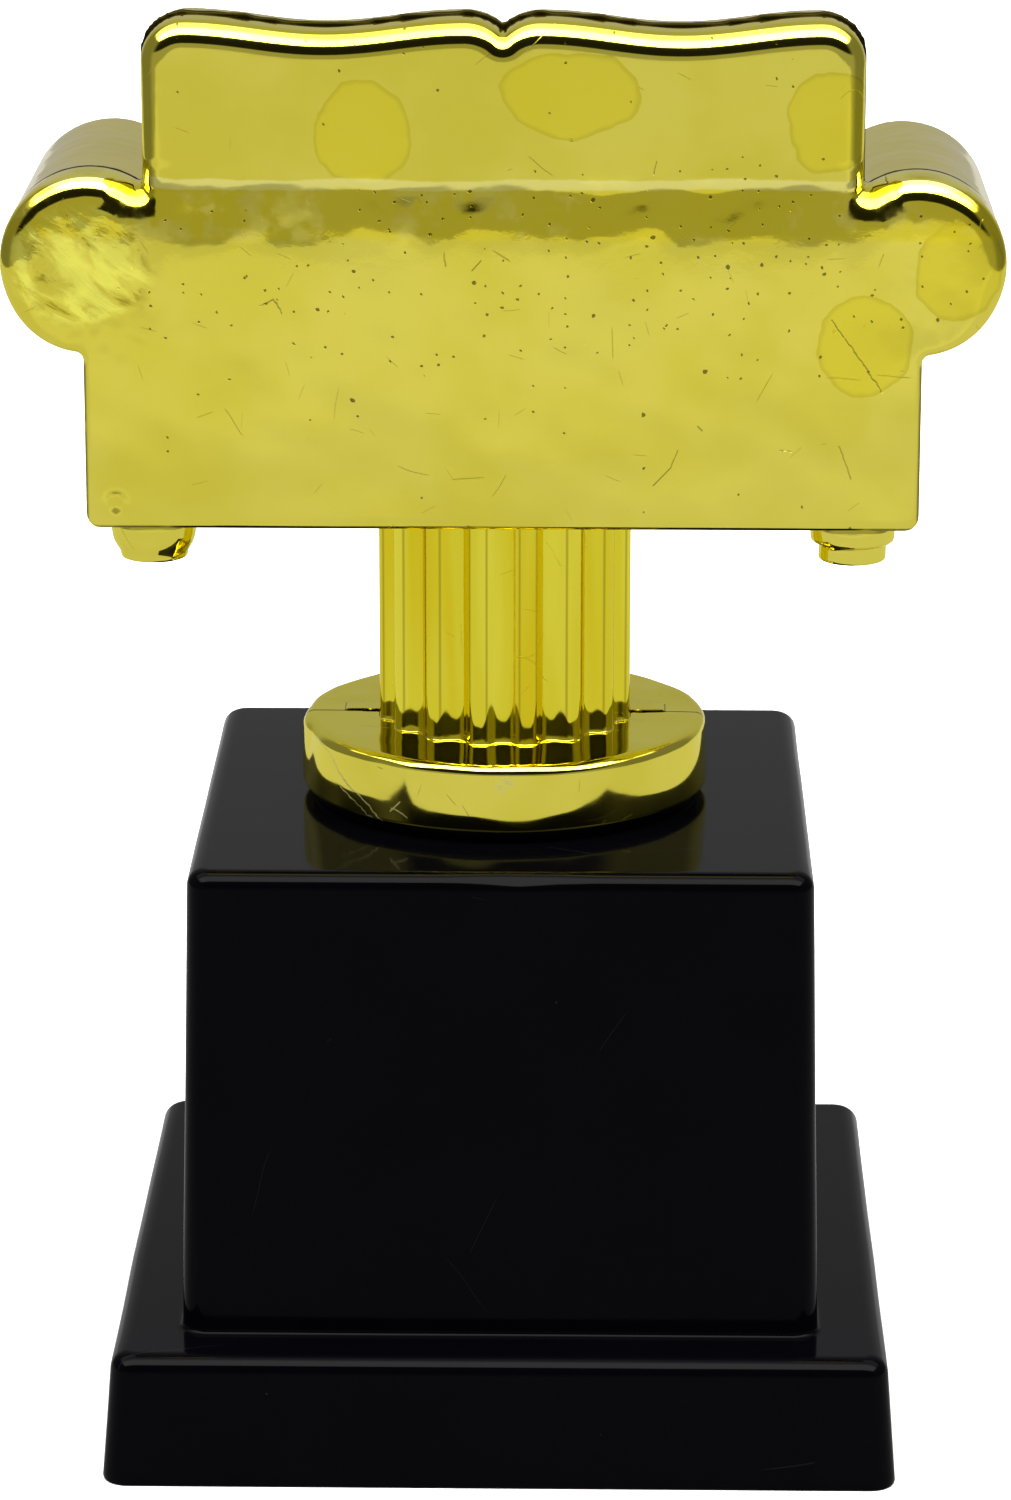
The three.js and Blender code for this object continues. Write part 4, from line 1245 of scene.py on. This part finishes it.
def make_world():
    """A white sweep with a broad soft light overhead, brighter at its front, before a dark room."""
    world = bpy.data.worlds.new("studio")
    scene.world = world
    graph = Graph(world)
    way = graph.coordinates("Generated")
    x, y, height = graph.split(way)
    level = graph.math("NORMALIZE", way * (1, 1, 0))
    front = graph.math("DOT_PRODUCT", level, (0, -1, 0))
    light = graph.step(front, -0.9, -0.6, 0.46, 0.22)
    light = graph.blend(graph.step(front, 0.2, 0.6), light, 0.38)
    room = graph.step(front, 0.25, 0.65) * graph.step(height, 0.15, 0.22)
    light = graph.blend(room, light, 0.012)

    above = graph.math("MAXIMUM", height, 0.001)
    ahead, aside = y * -1.0 / above, abs(x / above)
    lamp = graph.band(ahead, -0.55, 0.80, 0.05) * graph.step(aside, 1.5, 1.1)
    light = graph.blend(lamp, light, graph.step(ahead, -0.1, 0.25, 2.2, 9.0))
    light = graph.blend(graph.camera_ray(), light, 1.0)
    shader = graph.node("ShaderNodeBackground", {"Color": (1, 1, 1, 1), "Strength": light})
    graph.finish("World", shader)


def make_camera():
    """The camera that was fitted to the black base's corners and edges."""
    place = Vector((8.8102, -540.3396, 219.9095)) * MM
    yaw, pitch, roll = -0.01622156, 0.28319073, 0.00061596
    level = math.cos(pitch)
    forward = Vector((math.sin(yaw) * level, math.cos(yaw) * level, -math.sin(pitch)))
    right = Vector((math.cos(yaw), -math.sin(yaw), 0))
    up = right.cross(forward)
    axes = (math.cos(roll) * right + math.sin(roll) * up,
            math.cos(roll) * up - math.sin(roll) * right, -forward)
    data = bpy.data.cameras.new("camera")
    data.lens = 136.3226
    data.sensor_width = 36
    data.sensor_fit = "AUTO"
    data.clip_start, data.clip_end = 0.01, 20
    camera = bpy.data.objects.new("camera", data)
    camera.matrix_world = Matrix.Translation(place) @ Matrix(axes).transposed().to_4x4()
    scene.collection.objects.link(camera)
    scene.camera = camera


HIDDEN = {
    "ballast_block": PLASTER, "bottom_board": BOARD, "plate_tape": FOAM, "threaded_rod": ZINC,
    "flat_washer": ZINC, "lock_washer": ZINC, "base_nut": ZINC, "captive_nut": ZINC,
}


def finish_cad_nodes():
    """Inner pieces keep their CAD shape and get their real materials."""
    for name, material in HIDDEN.items():
        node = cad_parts[name]
        node.data.materials.clear()
        node.data.materials.append(material)


def make_all():
    make_camera()
    make_world()
    make_floor()
    make_base()
    make_felt()
    make_plate()
    make_gasket()
    make_riser()
    make_back_shell()
    make_front_shell()
    for seed, foot in enumerate(("back_left", "back_right", "front_left", "front_right"), 51):
        make_foot("sofa_foot_" + foot, foot != "back_left", seed)
    finish_cad_nodes()
    scene.view_settings.view_transform = "Standard"


make_all()
